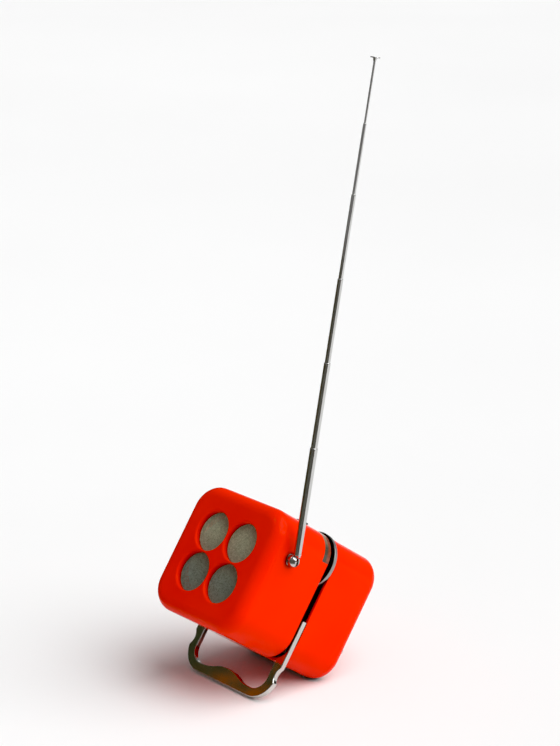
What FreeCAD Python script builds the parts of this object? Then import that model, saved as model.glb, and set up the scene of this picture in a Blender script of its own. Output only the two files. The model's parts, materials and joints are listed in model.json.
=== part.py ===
import FreeCAD, Part
import math
import os

# Portable cube receiver that leans back on its pulled-out handle.
# Everything is drawn in the body frame first: X to the right, -Y towards the
# loudspeaker face, +Z up when the case stands on its underside, origin at the
# middle of the case. The last section leans the whole set back and puts the
# origin on the floor, under the middle of its box. Millimetres throughout.

V = FreeCAD.Vector
AXIS_X = V(1, 0, 0)
AXIS_Y = V(0, 1, 0)
AXIS_Z = V(0, 0, 1)
NODES = {}

# --- Drawing habits ---
PAST = 1.0
ROOT = 0.5
NEAR = 2.0
TINY = 0.01

# --- Case ---
CASE_WIDTH = 140.0
CASE_DEPTH = 164.0
CORNER_R = 28.5
EDGE_R = 13.0
RIM_R = 0.5
WALL = 2.6
GROOVE_WIDTH = 9.4
HALF = CASE_WIDTH / 2
FRONT_Y = -CASE_DEPTH / 2
REAR_Y = CASE_DEPTH / 2
CORNER_C = HALF - CORNER_R

# --- Loudspeaker grilles ---
GRILLE_PITCH = 45.5
WELL_R = 21.7
WELL_DEPTH = 6.7
WELL_RIM = 2.2
MESH_THICKNESS = 0.8
MESH_R = 22.4
WELL_WALL = 2.4
BAFFLE_THICKNESS = 3.0
BAFFLE_CORNER_R = 12.0
BAFFLE_RIM = 1.1
MESH_Y = FRONT_Y + WELL_DEPTH
BAFFLE_Y = MESH_Y + MESH_THICKNESS
SPEAKER_Y = BAFFLE_Y + BAFFLE_THICKNESS
SPEAKER_R = 46.0
CONE_R = 40.0
SPEAKER_SCREW_R = 44.0
SPEAKER_SCREW_LENGTH = 3.3
SPEAKER_SCREW_HEAD_R = 2.4
BAFFLE_SCREW_XZ = 42.5
BAFFLE_SCREW_LENGTH = 6.0
BAFFLE_SCREW_DEPTH = 4.0

# --- Loudspeaker ---
SPEAKER_DEPTH = 23.5
FLANGE_THICKNESS = 1.3
BASKET_FOOT_R = 21.5
BASKET_WALL = 1.4
BASKET_FLOOR = 1.2
BASKET_SIDE = 0.6
BASKET_LEDGE = 0.9
BASKET_WINDOWS = 6
BASKET_WINDOW_R = 6.5
BASKET_WINDOW_C = 32.0
BASKET_WINDOW_Y = (4.0, 3.0)
THROAT_R = 12.0
CONE_INSET = 0.1
CONE_DEPTH = 17.5
CONE_THICKNESS = 0.6
DUST_CAP_HEIGHT = 4.0
DUST_CAP_CURVE_R = 20.1
MAGNET_R = 20.0
MAGNET_HEIGHT = 14.0
MAGNET_BEVEL = 1.5

# --- Handle plate, pulled out by its whole travel ---
HANDLE_Y = 2.5
HANDLE_THICKNESS = 6.2
HANDLE_TRAVEL = 44.1
HANDLE_INNER_X = 58.1
HANDLE_TOP_Z = -21.0
HANDLE_BOTTOM_Z = -HALF - HANDLE_TRAVEL
HANDLE_EDGE_R = 1.0
SHOULDER_R = 4.0
GRIP_HOLLOW_Z = -104.3
GRIP_BUMP_Z = -96.9
GRIP_HOLLOW_X = 38.0
GRIP_CORNER_R = 16.5
WAIST_R = 12.0
WAIST_DEPTH = 3.5
WAIST_Z = -83.0
LUG_X = 54.5
LUG_TOP_Z = -33.5
LUG_HEIGHT = 9.5
LUG_INSET = 1.0
EDGE_SCREW_Z = -89.5
EDGE_SCREW_R = 1.3
EDGE_SCREW_DEPTH = 4.0
EDGE_SCREW_LENGTH = 2.4
EDGE_SOCKET_R = 0.6
EDGE_SOCKET_DEPTH = 1.2
SPRING_X = 60.5
SPRING_WIDTH = 5.0
SPRING_Z = -52.0
SPRING_REACH = 6.5
SPRING_BOW = 1.1
SPRING_THICKNESS = 0.4
SPRING_FIT = 0.05

# --- Thumb wheels in the upper corners ---
WHEEL_C = 40.3
WHEEL_R = 31.6
WHEEL_Y = 2.8
WHEEL_THICKNESS = 6.2
WHEEL_EDGE_R = 1.4
WHEEL_GAP = 0.6
SPINDLE_R = 3.0
SPINDLE_FIT = 0.05
SPINDLE_FRONT = 6.0
SPINDLE_END_GAP = 0.8
DRUM_R = 26.2
DRUM_WALL = 1.6
DRUM_FRONT_Y = -10.4
SCALE_THICKNESS = 0.4
SCALE_FRONT_Y = -10.2
SCALE_REAR_Y = -0.3
DRUM_GAP = 0.7
WINDOW_FRONT_Y = -10.0
WINDOW_THICKNESS = 1.8
WINDOW_MARGIN_DEG = 2.0

# --- Frame between the two shells ---
FRAME_INSET = 3.0
FRAME_FRONT_Y = -2.0
FRAME_SLOT_Y = 2.2
FRAME_SLOT_END_Y = 9.0
FRAME_REAR_Y = 12.4
WHEEL_SLOT_END_Y = 9.8
SLOT_GAP = 0.3
CHANNEL_HEADROOM = 1.4
LUG_HEADROOM = 1.0
SPRING_POCKET_X = (60.0, 66.0)
SPRING_POCKET_Z = (-60.0, -44.0)
SPRING_POCKET_Y = 0.6
FRAME_HOLE_HALF_X = 40.0
FRAME_HOLE_HALF_Z = 22.0
FRAME_HOLE_R = 6.0
FRAME_HOLE_Z = -20.0
FRONT_BOSS = (50.0, -38.0)
FRONT_BOSS_R = 3.5
FRONT_SCREW_DEPTH = 14.0
FRONT_SCREW_LENGTH = 13.0
REAR_BOSSES = ((61.2, -30.0), (45.0, 50.0))
BOSS_R = 4.0
SCREW_R = 1.5
SCREW_HEAD_R = 2.8
SCREW_HEAD_HEIGHT = 1.6
SCREW_SLOT_HALF = 0.35
SCREW_CLEARANCE = 0.2
REAR_BOSS_Y = 22.0
REAR_HEAD_POCKET = 2.0
REAR_HEAD_POCKET_R = 3.2
REAR_HEAD_R = 2.9
REAR_SCREW_END = 1.6

# --- Push buttons on top ---
BUTTON_NAMES = ("left", "middle", "right")
BUTTON_X = 3.3
BUTTON_PITCH = 4.6
BUTTON_WIDTH = 4.0
BUTTON_DEPTH = 5.6
BUTTON_Y = 4.9
BUTTON_TOP_Z = 75.2
BUTTON_BOTTOM_Z = 64.4
BUTTON_TRAVEL = 3.0
BUTTON_EDGE_R = 0.9
STEM_HALF = 1.5
STEM_GAP = 0.1
STEM_LENGTH = 2.0
SWITCH_TOP_Z = 59.0
SWITCH_HALF_X = 6.6
SWITCH_HALF_Y = 2.7
SWITCH_HEIGHT = 11.5
SWITCH_WELL = 9.0
SWITCH_POCKET = 12.0

# --- Circuit board ---
BOARD_Y = -14.6
BOARD_THICKNESS = 1.6
BOARD_HALF_X = 58.0
BOARD_HALF_Z = 45.0
BOARD_CORNER_R = 12.0
BOARD_MID_Z = 15.0
BOARD_POSTS = ((52.0, -24.0), (-52.0, -24.0), (12.0, 57.0), (-12.0, 57.0))
BOARD_POST_R = 3.0
BOARD_SCREW_LENGTH = 7.0
BOARD_SCREW_FIT = 0.1
BOARD_SPINDLE_FIT = 1.0
TUNER_HALF = 13.0
TUNER_DEPTH = 14.0
CONTROL_R = 12.0
CONTROL_DEPTH = 10.0
CONTROL_BORE_DEPTH = 6.4
CAN_X = (-36.0, -20.0, -4.0, 12.0)
CAN_Z = -12.0
CAN_HALF = 5.0
CAN_HEIGHT = 13.0
SMOOTHING_X = (30.0, 45.0)
SMOOTHING_Z = -16.0
SMOOTHING_R = 6.0
SMOOTHING_HEIGHT = 16.0
TRANSISTOR_X = (-30.0, -18.0, -6.0, 6.0, 18.0)
TRANSISTOR_Z = 8.0
TRANSISTOR_R = 2.6
TRANSISTOR_HEIGHT = 5.0

# --- Ferrite aerial ---
FERRITE_R = 4.9
FERRITE_LENGTH = 92.0
FERRITE_Z = 56.0
FERRITE_Y = -34.6
COIL_R = 6.0
COIL_X = -14.0
COIL_LENGTH = 20.0
HOLDER_X = (-24.0, 20.0)
HOLDER_R = 6.2
HOLDER_HALF = 2.0
HOLDER_LEG_HALF = 3.0

# --- Battery compartment ---
CELL_R = 13.1
CELL_LENGTH = 50.0
CELL_GAP = 0.2
CELL_EDGE_R = 1.0
CELL_TIP_R = 3.0
CELL_TIP_LENGTH = 2.0
CELL_PITCH_Z = 27.2
CELL_Y = 63.3
CELL_ROWS = ("lower", "middle", "upper")
BATTERY_MID_Z = -13.0
BAY_HALF_X = 53.5
BAY_HALF_Z = 41.2
BAY_WALL = 1.6
BAY_FRONT_Y = 48.4
DOOR_GAP = 0.4
DOOR_CORNER_R = 8.0
DOOR_HINGE_CORNER_R = 3.0
BAY_CORNER_R = 5.0
DOOR_PIN_X = 52.0
DOOR_PIN_LENGTH = 2.9
DOOR_THICKNESS = 2.4
DOOR_EDGE_R = 1.1
DOOR_PIN_R = 0.6
DOOR_PIN_GAP = 0.06
DOOR_PIN_END_GAP = 0.4
HINGE_RELIEF_R = 2.0
DOOR_NOTCH_R = 9.0
DOOR_NOTCH_WIDTH = 20.0
DOOR_NOTCH_STANDOFF = 7.6
DOOR_NOTCH_INSET = 5.0
DOOR_RIBS = 9
DOOR_RIB_PITCH = 6.0
DOOR_RIB_FIRST = 32.0
DOOR_RIB_HALF = 0.8
DOOR_RIB_DEPTH = 0.7
DOOR_RIB_REACH = 40.0
CONTACT_THICKNESS = 0.6
CONTACT_HALF_Y = 9.0
CONTACT_HALF_Z = 8.5
CONTACT_CONE_R = (5.0, 3.0)
CONTACT_CONE_HEIGHT = 2.3

# --- Earphone socket on the left side ---
SOCKET_Y = 34.0
SOCKET_Z = -8.0
SOCKET_BORE_R = 1.8
SOCKET_BORE_DEPTH = 10.0
SOCKET_BARREL_R = 3.2
SOCKET_BARREL_END = 2.0
SOCKET_BODY_R = 4.5
SOCKET_BODY_LENGTH = 9.0

# --- Telescopic antenna ---
BALL_X = 74.6
BALL_Y = -52.1
BALL_Z = 28.3
BALL_R = 6.75
BALL_STANDOFF = 0.4
MAST_OFFSET_X = 4.6
MAST_LEAN_DEG = 23.15
MAST_START = 7.2
MAST_JOINTS = (118.4, 205.8, 291.1, 375.5, 446.0, 510.4)
TUBE_RADII = (3.95, 3.35, 2.80, 2.28, 1.76, 1.20)
TUBE_CLEARANCE = 0.08
TUBE_OVERLAP = 12.0
LIP_LENGTH = 1.2
LIP_FIT = 0.25
CAP_R = 5.0
CAP_THICKNESS = 1.2
CAP_CONE = 3.2
CAP_CONE_R = 2.2
CAP_NECK_FIT = 0.2
CAP_EDGE_R = 0.4
BUSH_R = 6.0
BUSH_LENGTH = 5.6
BUSH_FLANGE_R = 8.0
BUSH_FLANGE_THICKNESS = 3.0
BUSH_BORE_FIT = 0.05
BALL_FLAT_X = HALF + BALL_STANDOFF - BALL_X
PLUG_R = 4.5
PLUG_LENGTH = 9.5
PLUG_X = HALF - PLUG_LENGTH - BALL_X
NUT_R = 6.2
NUT_THICKNESS = 2.6
NUT_GAP = 0.2
BALL_EYE_R = 2.9
BALL_SLOT_GAP = 0.15
TANG_THICKNESS = 2.6
TANG_HALF = 2.6
TANG_NECK_Z = 3.6
TANG_HEAD_HALF = 3.6
TANG_HEAD_Z = 5.6
COLLAR_R = 4.1
COLLAR_LENGTH = 2.0
COLLAR_EDGE_R = 0.5
SPIGOT_START = 1.5
SPIGOT_LENGTH = 3.0
PIVOT_R = 1.1
PIVOT_FIT = 0.05
PIVOT_HEAD_R = 1.55
PIVOT_POCKET_R = 1.7
PIVOT_HEAD_Y = (-5.9, -4.7)
PIVOT_TIP_Y = 5.6
PIVOT_SLOT_DEPTH = 0.5
PIVOT_SLOT_HALF = 0.3


# ------------------------------------------------------------------ helpers

def add(name, shape):
    """Keep a finished shape under the name of its node."""
    NODES[name] = shape


def block(x0, x1, y0, y1, z0, z1):
    """Box between two corners."""
    return Part.makeBox(x1 - x0, y1 - y0, z1 - z0, V(x0, y0, z0))


def rod(radius, y0, y1, x=0.0, z=0.0):
    """Cylinder along Y."""
    return Part.makeCylinder(radius, y1 - y0, V(x, y0, z), AXIS_Y)


def joined(shapes):
    """Fuse a list of shapes into one."""
    first, *rest = shapes
    return first.fuse(rest).removeSplitter() if rest else first


def cut(shape, tools):
    """Cut every tool out of a shape, one after another, because some tools cross each other."""
    for tool in tools:
        shape = shape.cut(tool)
    return shape


def edges_where(shape, test):
    """Edges whose middle point and direction pass a test."""
    found = []
    for edge in shape.Edges:
        middle = edge.valueAt((edge.FirstParameter + edge.LastParameter) / 2)
        if test(edge, middle):
            found.append(edge)
    return found


def runs_along_y(edge):
    """True for an edge whose two ends differ in Y only."""
    if len(edge.Vertexes) < 2:
        return False
    step = edge.Vertexes[1].Point - edge.Vertexes[0].Point
    return abs(step.y) > TINY and abs(step.x) + abs(step.z) < TINY


def rounded_block(half_x, half_z, radius, y0, y1, mid_x=0.0, mid_z=0.0):
    """Box with four round corners, its long edges along Y."""
    body = block(mid_x - half_x, mid_x + half_x, y0, y1, mid_z - half_z, mid_z + half_z)
    return body.makeFillet(radius, edges_where(body, lambda edge, middle: runs_along_y(edge)))


def turned(points):
    """Solid turned about the Y axis from (radius, y) points."""
    corners = [V(radius, y, 0) for radius, y in points]
    face = Part.Face(Part.makePolygon(corners + corners[:1]))
    return face.revolve(V(0, 0, 0), AXIS_Y, 360)


def four_ways(x, z):
    """The four mirror images of a point in the XZ plane."""
    return [(side * x, level * z) for side in (-1, 1) for level in (-1, 1)]


def at(shape, x=0.0, y=0.0, z=0.0):
    """A shape moved by an offset."""
    moved = shape.copy()
    moved.translate(V(x, y, z))
    return moved


def mirrored(shape):
    """A shape reflected to the other side of the case."""
    return shape.mirror(V(0, 0, 0), AXIS_X)


def screw(x, z, head_y, length, head_r=SCREW_HEAD_R, facing=1):
    """Slotted screw along Y. Its shank runs from head_y to -Y times facing."""
    tip_y = head_y - facing * length
    top_y = head_y + facing * SCREW_HEAD_HEIGHT
    shank = rod(SCREW_R, min(head_y, tip_y), max(head_y, tip_y), x, z)
    head = rod(head_r, min(head_y, top_y), max(head_y, top_y), x, z)
    slot_y = top_y - facing * SCREW_HEAD_HEIGHT / 2
    slot = block(x - head_r, x + head_r, min(slot_y, top_y), max(slot_y, top_y),
                 z - SCREW_SLOT_HALF, z + SCREW_SLOT_HALF)
    return joined([shank, head]).cut(slot)


# ------------------------------------------------------------------- shells

def case_volume(open_y, closed_y, inset):
    """Rounded half of the case as a solid, its outside moved in by an inset."""
    end_y = closed_y - math.copysign(inset, closed_y)
    body = rounded_block(HALF - inset, HALF - inset, CORNER_R - inset, min(open_y, end_y), max(open_y, end_y))
    rim = edges_where(body, lambda edge, middle: abs(middle.y - end_y) < TINY)
    return body.makeFillet(EDGE_R - inset, rim)


def shell(open_y, closed_y):
    """Half of the case: open at the groove with a softened rim, rounded and closed at the far end."""
    outside = case_volume(open_y, closed_y, 0.0)
    rim = edges_where(outside, lambda edge, middle: abs(middle.y - open_y) < TINY)
    outside = outside.makeFillet(RIM_R, rim)
    return outside.cut(case_volume(open_y, closed_y, WALL))


def well_tool():
    """Cutter for one grille well, with a softly rounded rim."""
    rim_c = WELL_R + WELL_RIM
    slant = WELL_RIM * math.sqrt(0.5)
    front = FRONT_Y - PAST
    rim_arc = Part.Arc(V(rim_c, FRONT_Y, 0),
                       V(rim_c - slant, FRONT_Y + WELL_RIM - slant, 0),
                       V(WELL_R, FRONT_Y + WELL_RIM, 0))
    path = [Part.LineSegment(V(0, front, 0), V(rim_c, front, 0)).toShape(),
            Part.LineSegment(V(rim_c, front, 0), V(rim_c, FRONT_Y, 0)).toShape(),
            rim_arc.toShape(),
            Part.LineSegment(V(WELL_R, FRONT_Y + WELL_RIM, 0), V(WELL_R, BAFFLE_Y, 0)).toShape(),
            Part.LineSegment(V(WELL_R, BAFFLE_Y, 0), V(0, BAFFLE_Y, 0)).toShape(),
            Part.LineSegment(V(0, BAFFLE_Y, 0), V(0, front, 0)).toShape()]
    return Part.Face(Part.Wire(path)).revolve(V(0, 0, 0), AXIS_Y, 360)


def window_sector(extra=0.0):
    """Curved strip of the upper right corner, as thick as the dial window."""
    outer = rod(CORNER_R, WINDOW_FRONT_Y, extra, CORNER_C, CORNER_C)
    inner = rod(CORNER_R - WINDOW_THICKNESS, WINDOW_FRONT_Y, extra, CORNER_C, CORNER_C)
    ring = outer.cut(inner)
    reach = CORNER_R * 2
    trim = math.tan(math.radians(WINDOW_MARGIN_DEG)) * CORNER_R
    return ring.common(block(CORNER_C + trim, CORNER_C + reach, WINDOW_FRONT_Y, extra,
                             CORNER_C + trim, CORNER_C + reach))


def dial_window():
    """The window itself, its outer edge softened like the rim beside it."""
    def on_rim(edge, middle):
        return abs(middle.y) < TINY and math.hypot(middle.x - CORNER_C, middle.z - CORNER_C) > CORNER_R - TINY
    sector = window_sector()
    return sector.makeFillet(RIM_R, edges_where(sector, on_rim))


def front_shell():
    """Front half with four wells, the dial window's opening and the antenna's hole."""
    grille_at = four_ways(GRILLE_PITCH / 2, GRILLE_PITCH / 2)
    root_y = FRONT_Y + WALL - ROOT
    solid = joined([shell(0.0, FRONT_Y)]
                   + [rod(WELL_R + WELL_WALL, root_y, MESH_Y, x, z) for x, z in grille_at])
    well = well_tool()
    solid = cut(solid, [at(well, x=x, z=z) for x, z in grille_at])
    corner_screws = four_ways(BAFFLE_SCREW_XZ, BAFFLE_SCREW_XZ)
    posts = [rod(FRONT_BOSS_R, root_y, BAFFLE_Y, x, z) for x, z in corner_screws]
    boss_x, boss_z = FRONT_BOSS
    posts += [rod(FRONT_BOSS_R, root_y, FRAME_FRONT_Y, side * boss_x, boss_z) for side in (-1, 1)]
    solid = joined([solid] + posts)
    holes = [rod(SCREW_R, BAFFLE_Y - BAFFLE_SCREW_DEPTH, BAFFLE_Y + PAST, x, z) for x, z in corner_screws]
    holes += [rod(SCREW_R, -FRONT_SCREW_DEPTH, PAST, side * boss_x, boss_z) for side in (-1, 1)]
    holes.append(window_sector(PAST))
    holes.append(Part.makeCylinder(BUSH_R, 2 * WALL, V(HALF - 2 * WALL, BALL_Y, BALL_Z), AXIS_X))
    return cut(solid, holes)


def bay_block(gap, radius, y0, y1):
    """The battery bay's rounded rectangle, grown by a gap."""
    return rounded_block(BAY_HALF_X + gap, BAY_HALF_Z + gap, radius + gap, y0, y1, 0.0, BATTERY_MID_Z)


def door_block(gap, y0, y1):
    """The battery door's outline, grown by a gap, with its tighter corners beside the hinge."""
    half_x = BAY_HALF_X + gap
    half_z = BAY_HALF_Z + gap
    body = block(-half_x, half_x, y0, y1, BATTERY_MID_Z - half_z, BATTERY_MID_Z + half_z)
    upper = edges_where(body, lambda edge, middle: runs_along_y(edge) and middle.z > BATTERY_MID_Z)
    body = body.makeFillet(DOOR_CORNER_R + gap, upper)
    lower = edges_where(body, lambda edge, middle: runs_along_y(edge) and middle.z < BATTERY_MID_Z)
    return body.makeFillet(DOOR_HINGE_CORNER_R + gap, lower)


def on_hinge(radius, x0, x1):
    """Cylinder about the battery door's hinge line."""
    return Part.makeCylinder(radius, x1 - x0, V(x0, REAR_Y - DOOR_THICKNESS / 2, hinge_z()), AXIS_X)


def hinge_z():
    """Height of the battery door's hinge line."""
    return BATTERY_MID_Z - BAY_HALF_Z + DOOR_THICKNESS / 2


def rear_shell():
    """Rear half with the battery opening, screw posts and the earphone hole."""
    solid = shell(GROOVE_WIDTH, REAR_Y)
    posts = []
    holes = []
    for x, z in REAR_BOSSES:
        for side in (-1, 1):
            posts.append(rod(BOSS_R, REAR_BOSS_Y, REAR_Y - WALL + ROOT, side * x, z))
            holes.append(rod(SCREW_R + SCREW_CLEARANCE, REAR_BOSS_Y - PAST, REAR_Y + PAST, side * x, z))
            holes.append(rod(REAR_HEAD_POCKET_R, REAR_Y - REAR_HEAD_POCKET, REAR_Y + PAST, side * x, z))
    inside = case_volume(GROOVE_WIDTH, REAR_Y, WALL / 2)
    solid = joined([solid] + [post.common(inside) for post in posts])
    holes.append(door_block(DOOR_GAP, REAR_Y - 2 * WALL, REAR_Y + PAST))
    relief_reach = BAY_HALF_X + DOOR_GAP
    holes.append(on_hinge(HINGE_RELIEF_R, -relief_reach, relief_reach))
    pin_reach = DOOR_PIN_X + DOOR_PIN_LENGTH + DOOR_PIN_END_GAP
    holes.append(on_hinge(DOOR_PIN_R + DOOR_PIN_GAP, -pin_reach, pin_reach))
    socket_at = V(-HALF - PAST, SOCKET_Y, SOCKET_Z)
    holes.append(Part.makeCylinder(SOCKET_BARREL_R, 2 * WALL, socket_at, AXIS_X))
    return cut(solid, holes)


# ------------------------------------------------------------ grille and speaker

def build_grilles():
    """Four round metal meshes behind the wells."""
    mesh = rod(MESH_R, MESH_Y, BAFFLE_Y)
    for side, x in (("left", -GRILLE_PITCH / 2), ("right", GRILLE_PITCH / 2)):
        for level, z in (("lower", -GRILLE_PITCH / 2), ("upper", GRILLE_PITCH / 2)):
            add("grille_mesh_%s_%s" % (level, side), at(mesh, x=x, z=z))


def speaker_places():
    """Where the loudspeaker's four flange screws sit."""
    reach = SPEAKER_SCREW_R
    return [(reach, 0), (-reach, 0), (0, reach), (0, -reach)]


def build_baffle():
    """Board behind the grilles, with its four corner screws."""
    baffle = rounded_block(SPEAKER_R, SPEAKER_R, BAFFLE_CORNER_R, BAFFLE_Y, SPEAKER_Y)
    holes = [rod(WELL_R - BAFFLE_RIM, BAFFLE_Y - PAST, SPEAKER_Y + PAST, x, z)
             for x, z in four_ways(GRILLE_PITCH / 2, GRILLE_PITCH / 2)]
    corner_screws = four_ways(BAFFLE_SCREW_XZ, BAFFLE_SCREW_XZ)
    holes += [rod(SCREW_R, BAFFLE_Y - PAST, SPEAKER_Y + PAST, x, z)
              for x, z in corner_screws + speaker_places()]
    add("speaker_baffle", cut(baffle, holes))
    add("baffle_screws", Part.makeCompound([screw(x, z, SPEAKER_Y, BAFFLE_SCREW_LENGTH)
                                            for x, z in corner_screws]))


def build_speaker():
    """Loudspeaker: basket with windows, cone, dust cap, magnet and flange screws."""
    back = SPEAKER_Y + SPEAKER_DEPTH
    flange_y = SPEAKER_Y + FLANGE_THICKNESS
    basket = turned([(CONE_R, SPEAKER_Y), (SPEAKER_R, SPEAKER_Y), (SPEAKER_R, flange_y),
                     (CONE_R + BASKET_WALL, flange_y), (BASKET_FOOT_R, back), (THROAT_R, back),
                     (THROAT_R, back - BASKET_FLOOR), (BASKET_FOOT_R - BASKET_SIDE, back - BASKET_FLOOR),
                     (CONE_R, SPEAKER_Y + BASKET_LEDGE)])
    windows = []
    front_gap, rear_gap = BASKET_WINDOW_Y
    for step in range(BASKET_WINDOWS):
        angle = 2 * math.pi * (step + 0.5) / BASKET_WINDOWS
        windows.append(rod(BASKET_WINDOW_R, SPEAKER_Y + front_gap, back - rear_gap,
                           BASKET_WINDOW_C * math.cos(angle), BASKET_WINDOW_C * math.sin(angle)))
    windows += [rod(SCREW_R, SPEAKER_Y - PAST, flange_y + PAST, x, z) for x, z in speaker_places()]
    add("speaker_basket", cut(basket, windows))
    rim_y = SPEAKER_Y + CONE_INSET
    cap_y = SPEAKER_Y + CONE_DEPTH
    add("speaker_cone", turned([(CONE_R, rim_y), (CONE_R, rim_y + CONE_THICKNESS),
                                (THROAT_R, cap_y + CONE_THICKNESS), (THROAT_R, cap_y)]))
    dome = Part.makeSphere(DUST_CAP_CURVE_R, V(0, cap_y + DUST_CAP_CURVE_R - DUST_CAP_HEIGHT, 0))
    add("speaker_dust_cap", dome.common(rod(THROAT_R, cap_y - 2 * DUST_CAP_HEIGHT, cap_y)))
    bevel_r = MAGNET_R - MAGNET_BEVEL
    end = back + MAGNET_HEIGHT
    add("speaker_magnet", turned([(0, back), (bevel_r, back), (MAGNET_R, back + MAGNET_BEVEL),
                                  (MAGNET_R, end - MAGNET_BEVEL), (bevel_r, end), (0, end)]))
    add("speaker_screws", Part.makeCompound([screw(x, z, flange_y, SPEAKER_SCREW_LENGTH, SPEAKER_SCREW_HEAD_R)
                                             for x, z in speaker_places()]))


# ------------------------------------------------------------------- handle

def grip_curve(gap, lift):
    """Inner edge of the grip from the right arm to the left one, as a list of edges."""
    inner_x = HANDLE_INNER_X - gap
    corner_x = HANDLE_INNER_X - GRIP_CORNER_R
    corner_z = GRIP_HOLLOW_Z + GRIP_CORNER_R + lift
    corner_r = GRIP_CORNER_R - gap
    hollow_z = GRIP_HOLLOW_Z + lift + gap
    bump_z = GRIP_BUMP_Z + lift + gap
    mid_x = GRIP_HOLLOW_X / 2
    half_rise = (bump_z - hollow_z) / 2
    mid_z = hollow_z + half_rise
    wave_r = (mid_x ** 2 + half_rise ** 2) / (2 * half_rise)
    rise = half_rise / 4
    quarter_x = math.sqrt(wave_r ** 2 - (wave_r - rise) ** 2)
    slant = corner_r * math.sqrt(0.5)
    half = [("arc", (inner_x, corner_z), (corner_x + slant, corner_z - slant), (corner_x, hollow_z)),
            ("line", (corner_x, hollow_z), (GRIP_HOLLOW_X, hollow_z)),
            ("arc", (GRIP_HOLLOW_X, hollow_z), (GRIP_HOLLOW_X - quarter_x, hollow_z + rise), (mid_x, mid_z)),
            ("arc", (mid_x, mid_z), (quarter_x, bump_z - rise), (0.0, bump_z))]
    return half + other_side(half)


def other_side(steps):
    """The same outline steps on the left, in the order that carries on from the right."""
    return [(kind,) + tuple((-x, z) for x, z in reversed(points)) for kind, *points in reversed(steps)]


def outline_edges(steps):
    """Edges in the plane y = 0 from ("line", a, b) and ("arc", a, middle, b) steps."""
    edges = []
    for kind, *points in steps:
        spots = [V(x, 0, z) for x, z in points]
        maker = Part.LineSegment if kind == "line" else Part.Arc
        edges.append(maker(*spots).toShape())
    return edges


def handle():
    """U-shaped plate: two arms that end in stop lugs and a grip with a thumb bump."""
    corner_z = HANDLE_BOTTOM_Z + CORNER_R
    slant = CORNER_R * math.sqrt(0.5)
    corner_end = (CORNER_C, HANDLE_BOTTOM_Z)
    outer_half = [("line", (HALF, HANDLE_TOP_Z), (HALF, corner_z)),
                  ("arc", (HALF, corner_z), (CORNER_C + slant, corner_z - slant), corner_end)]
    bottom = [("line", (CORNER_C, HANDLE_BOTTOM_Z), (-CORNER_C, HANDLE_BOTTOM_Z))]
    corner_top = GRIP_HOLLOW_Z + GRIP_CORNER_R
    left_top = [("line", (-HALF, HANDLE_TOP_Z), (-HANDLE_INNER_X, HANDLE_TOP_Z)),
                ("line", (-HANDLE_INNER_X, HANDLE_TOP_Z), (-HANDLE_INNER_X, corner_top))]
    grip = [(kind,) + tuple(reversed(points)) for kind, *points in reversed(grip_curve(0.0, 0.0))]
    right_top = [("line", (HANDLE_INNER_X, corner_top), (HANDLE_INNER_X, HANDLE_TOP_Z)),
                 ("line", (HANDLE_INNER_X, HANDLE_TOP_Z), (HALF, HANDLE_TOP_Z))]
    steps = outer_half + bottom + other_side(outer_half) + left_top + grip + right_top
    plate = Part.Face(Part.Wire(outline_edges(steps))).extrude(V(0, HANDLE_THICKNESS, 0))

    waist_c = HALF + WAIST_R - WAIST_DEPTH
    waists = [rod(WAIST_R, -PAST, HANDLE_THICKNESS + PAST, side * waist_c, WAIST_Z) for side in (-1, 1)]
    plate = cut(plate, waists)
    half_chord = math.sqrt(WAIST_R ** 2 - (WAIST_R - WAIST_DEPTH) ** 2)
    shoulders = edges_where(plate, lambda edge, middle: runs_along_y(edge) and abs(middle.x) > HALF - NEAR
                            and abs(abs(middle.z - WAIST_Z) - half_chord) < NEAR)
    plate = plate.makeFillet(SHOULDER_R, shoulders)
    rims = edges_where(plate, lambda edge, middle: not runs_along_y(edge))
    plate = plate.makeFillet(HANDLE_EDGE_R, rims)

    lug = block(LUG_X, HANDLE_INNER_X + NEAR, LUG_INSET, HANDLE_THICKNESS - LUG_INSET,
                LUG_TOP_Z - LUG_HEIGHT, LUG_TOP_Z)
    wheel_path = rod(WHEEL_R + WHEEL_GAP, -PAST, HANDLE_THICKNESS + PAST, WHEEL_C, WHEEL_C - HANDLE_TRAVEL)
    solid = cut(joined([plate, lug, mirrored(lug)]), [wheel_path, mirrored(wheel_path)])
    drill_foot = V(HALF - EDGE_SCREW_DEPTH, HANDLE_THICKNESS / 2, EDGE_SCREW_Z)
    drill = Part.makeCylinder(EDGE_SCREW_R, EDGE_SCREW_DEPTH, drill_foot, AXIS_X)
    solid = cut(solid, [drill, mirrored(drill)])
    return at(solid, y=HANDLE_Y)


def build_handle():
    """Handle, its two edge screws and the springs that hold it by friction."""
    add("handle", handle())
    mid_y = HANDLE_Y + HANDLE_THICKNESS / 2
    pin_x = HALF - EDGE_SCREW_DEPTH
    socket_x = pin_x + EDGE_SCREW_LENGTH - EDGE_SOCKET_DEPTH
    pin = Part.makeCylinder(EDGE_SCREW_R, EDGE_SCREW_LENGTH, V(pin_x, mid_y, EDGE_SCREW_Z), AXIS_X)
    socket = Part.makeCylinder(EDGE_SOCKET_R, EDGE_SOCKET_DEPTH, V(socket_x, mid_y, EDGE_SCREW_Z), AXIS_X)
    pin = pin.cut(socket)
    add("handle_edge_screws", Part.makeCompound([pin, mirrored(pin)]))
    front_y = HANDLE_Y - SPRING_FIT - SPRING_BOW - SPRING_THICKNESS
    bow = Part.Arc(V(SPRING_X, front_y, SPRING_Z - SPRING_REACH),
                   V(SPRING_X, front_y + SPRING_BOW, SPRING_Z),
                   V(SPRING_X, front_y, SPRING_Z + SPRING_REACH))
    leaf = bow.toShape().extrude(V(SPRING_WIDTH, 0, 0)).extrude(V(0, SPRING_THICKNESS, 0))
    add("handle_springs", Part.makeCompound([leaf, mirrored(leaf)]))


# ------------------------------------------------------------ frame and wheels

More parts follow.
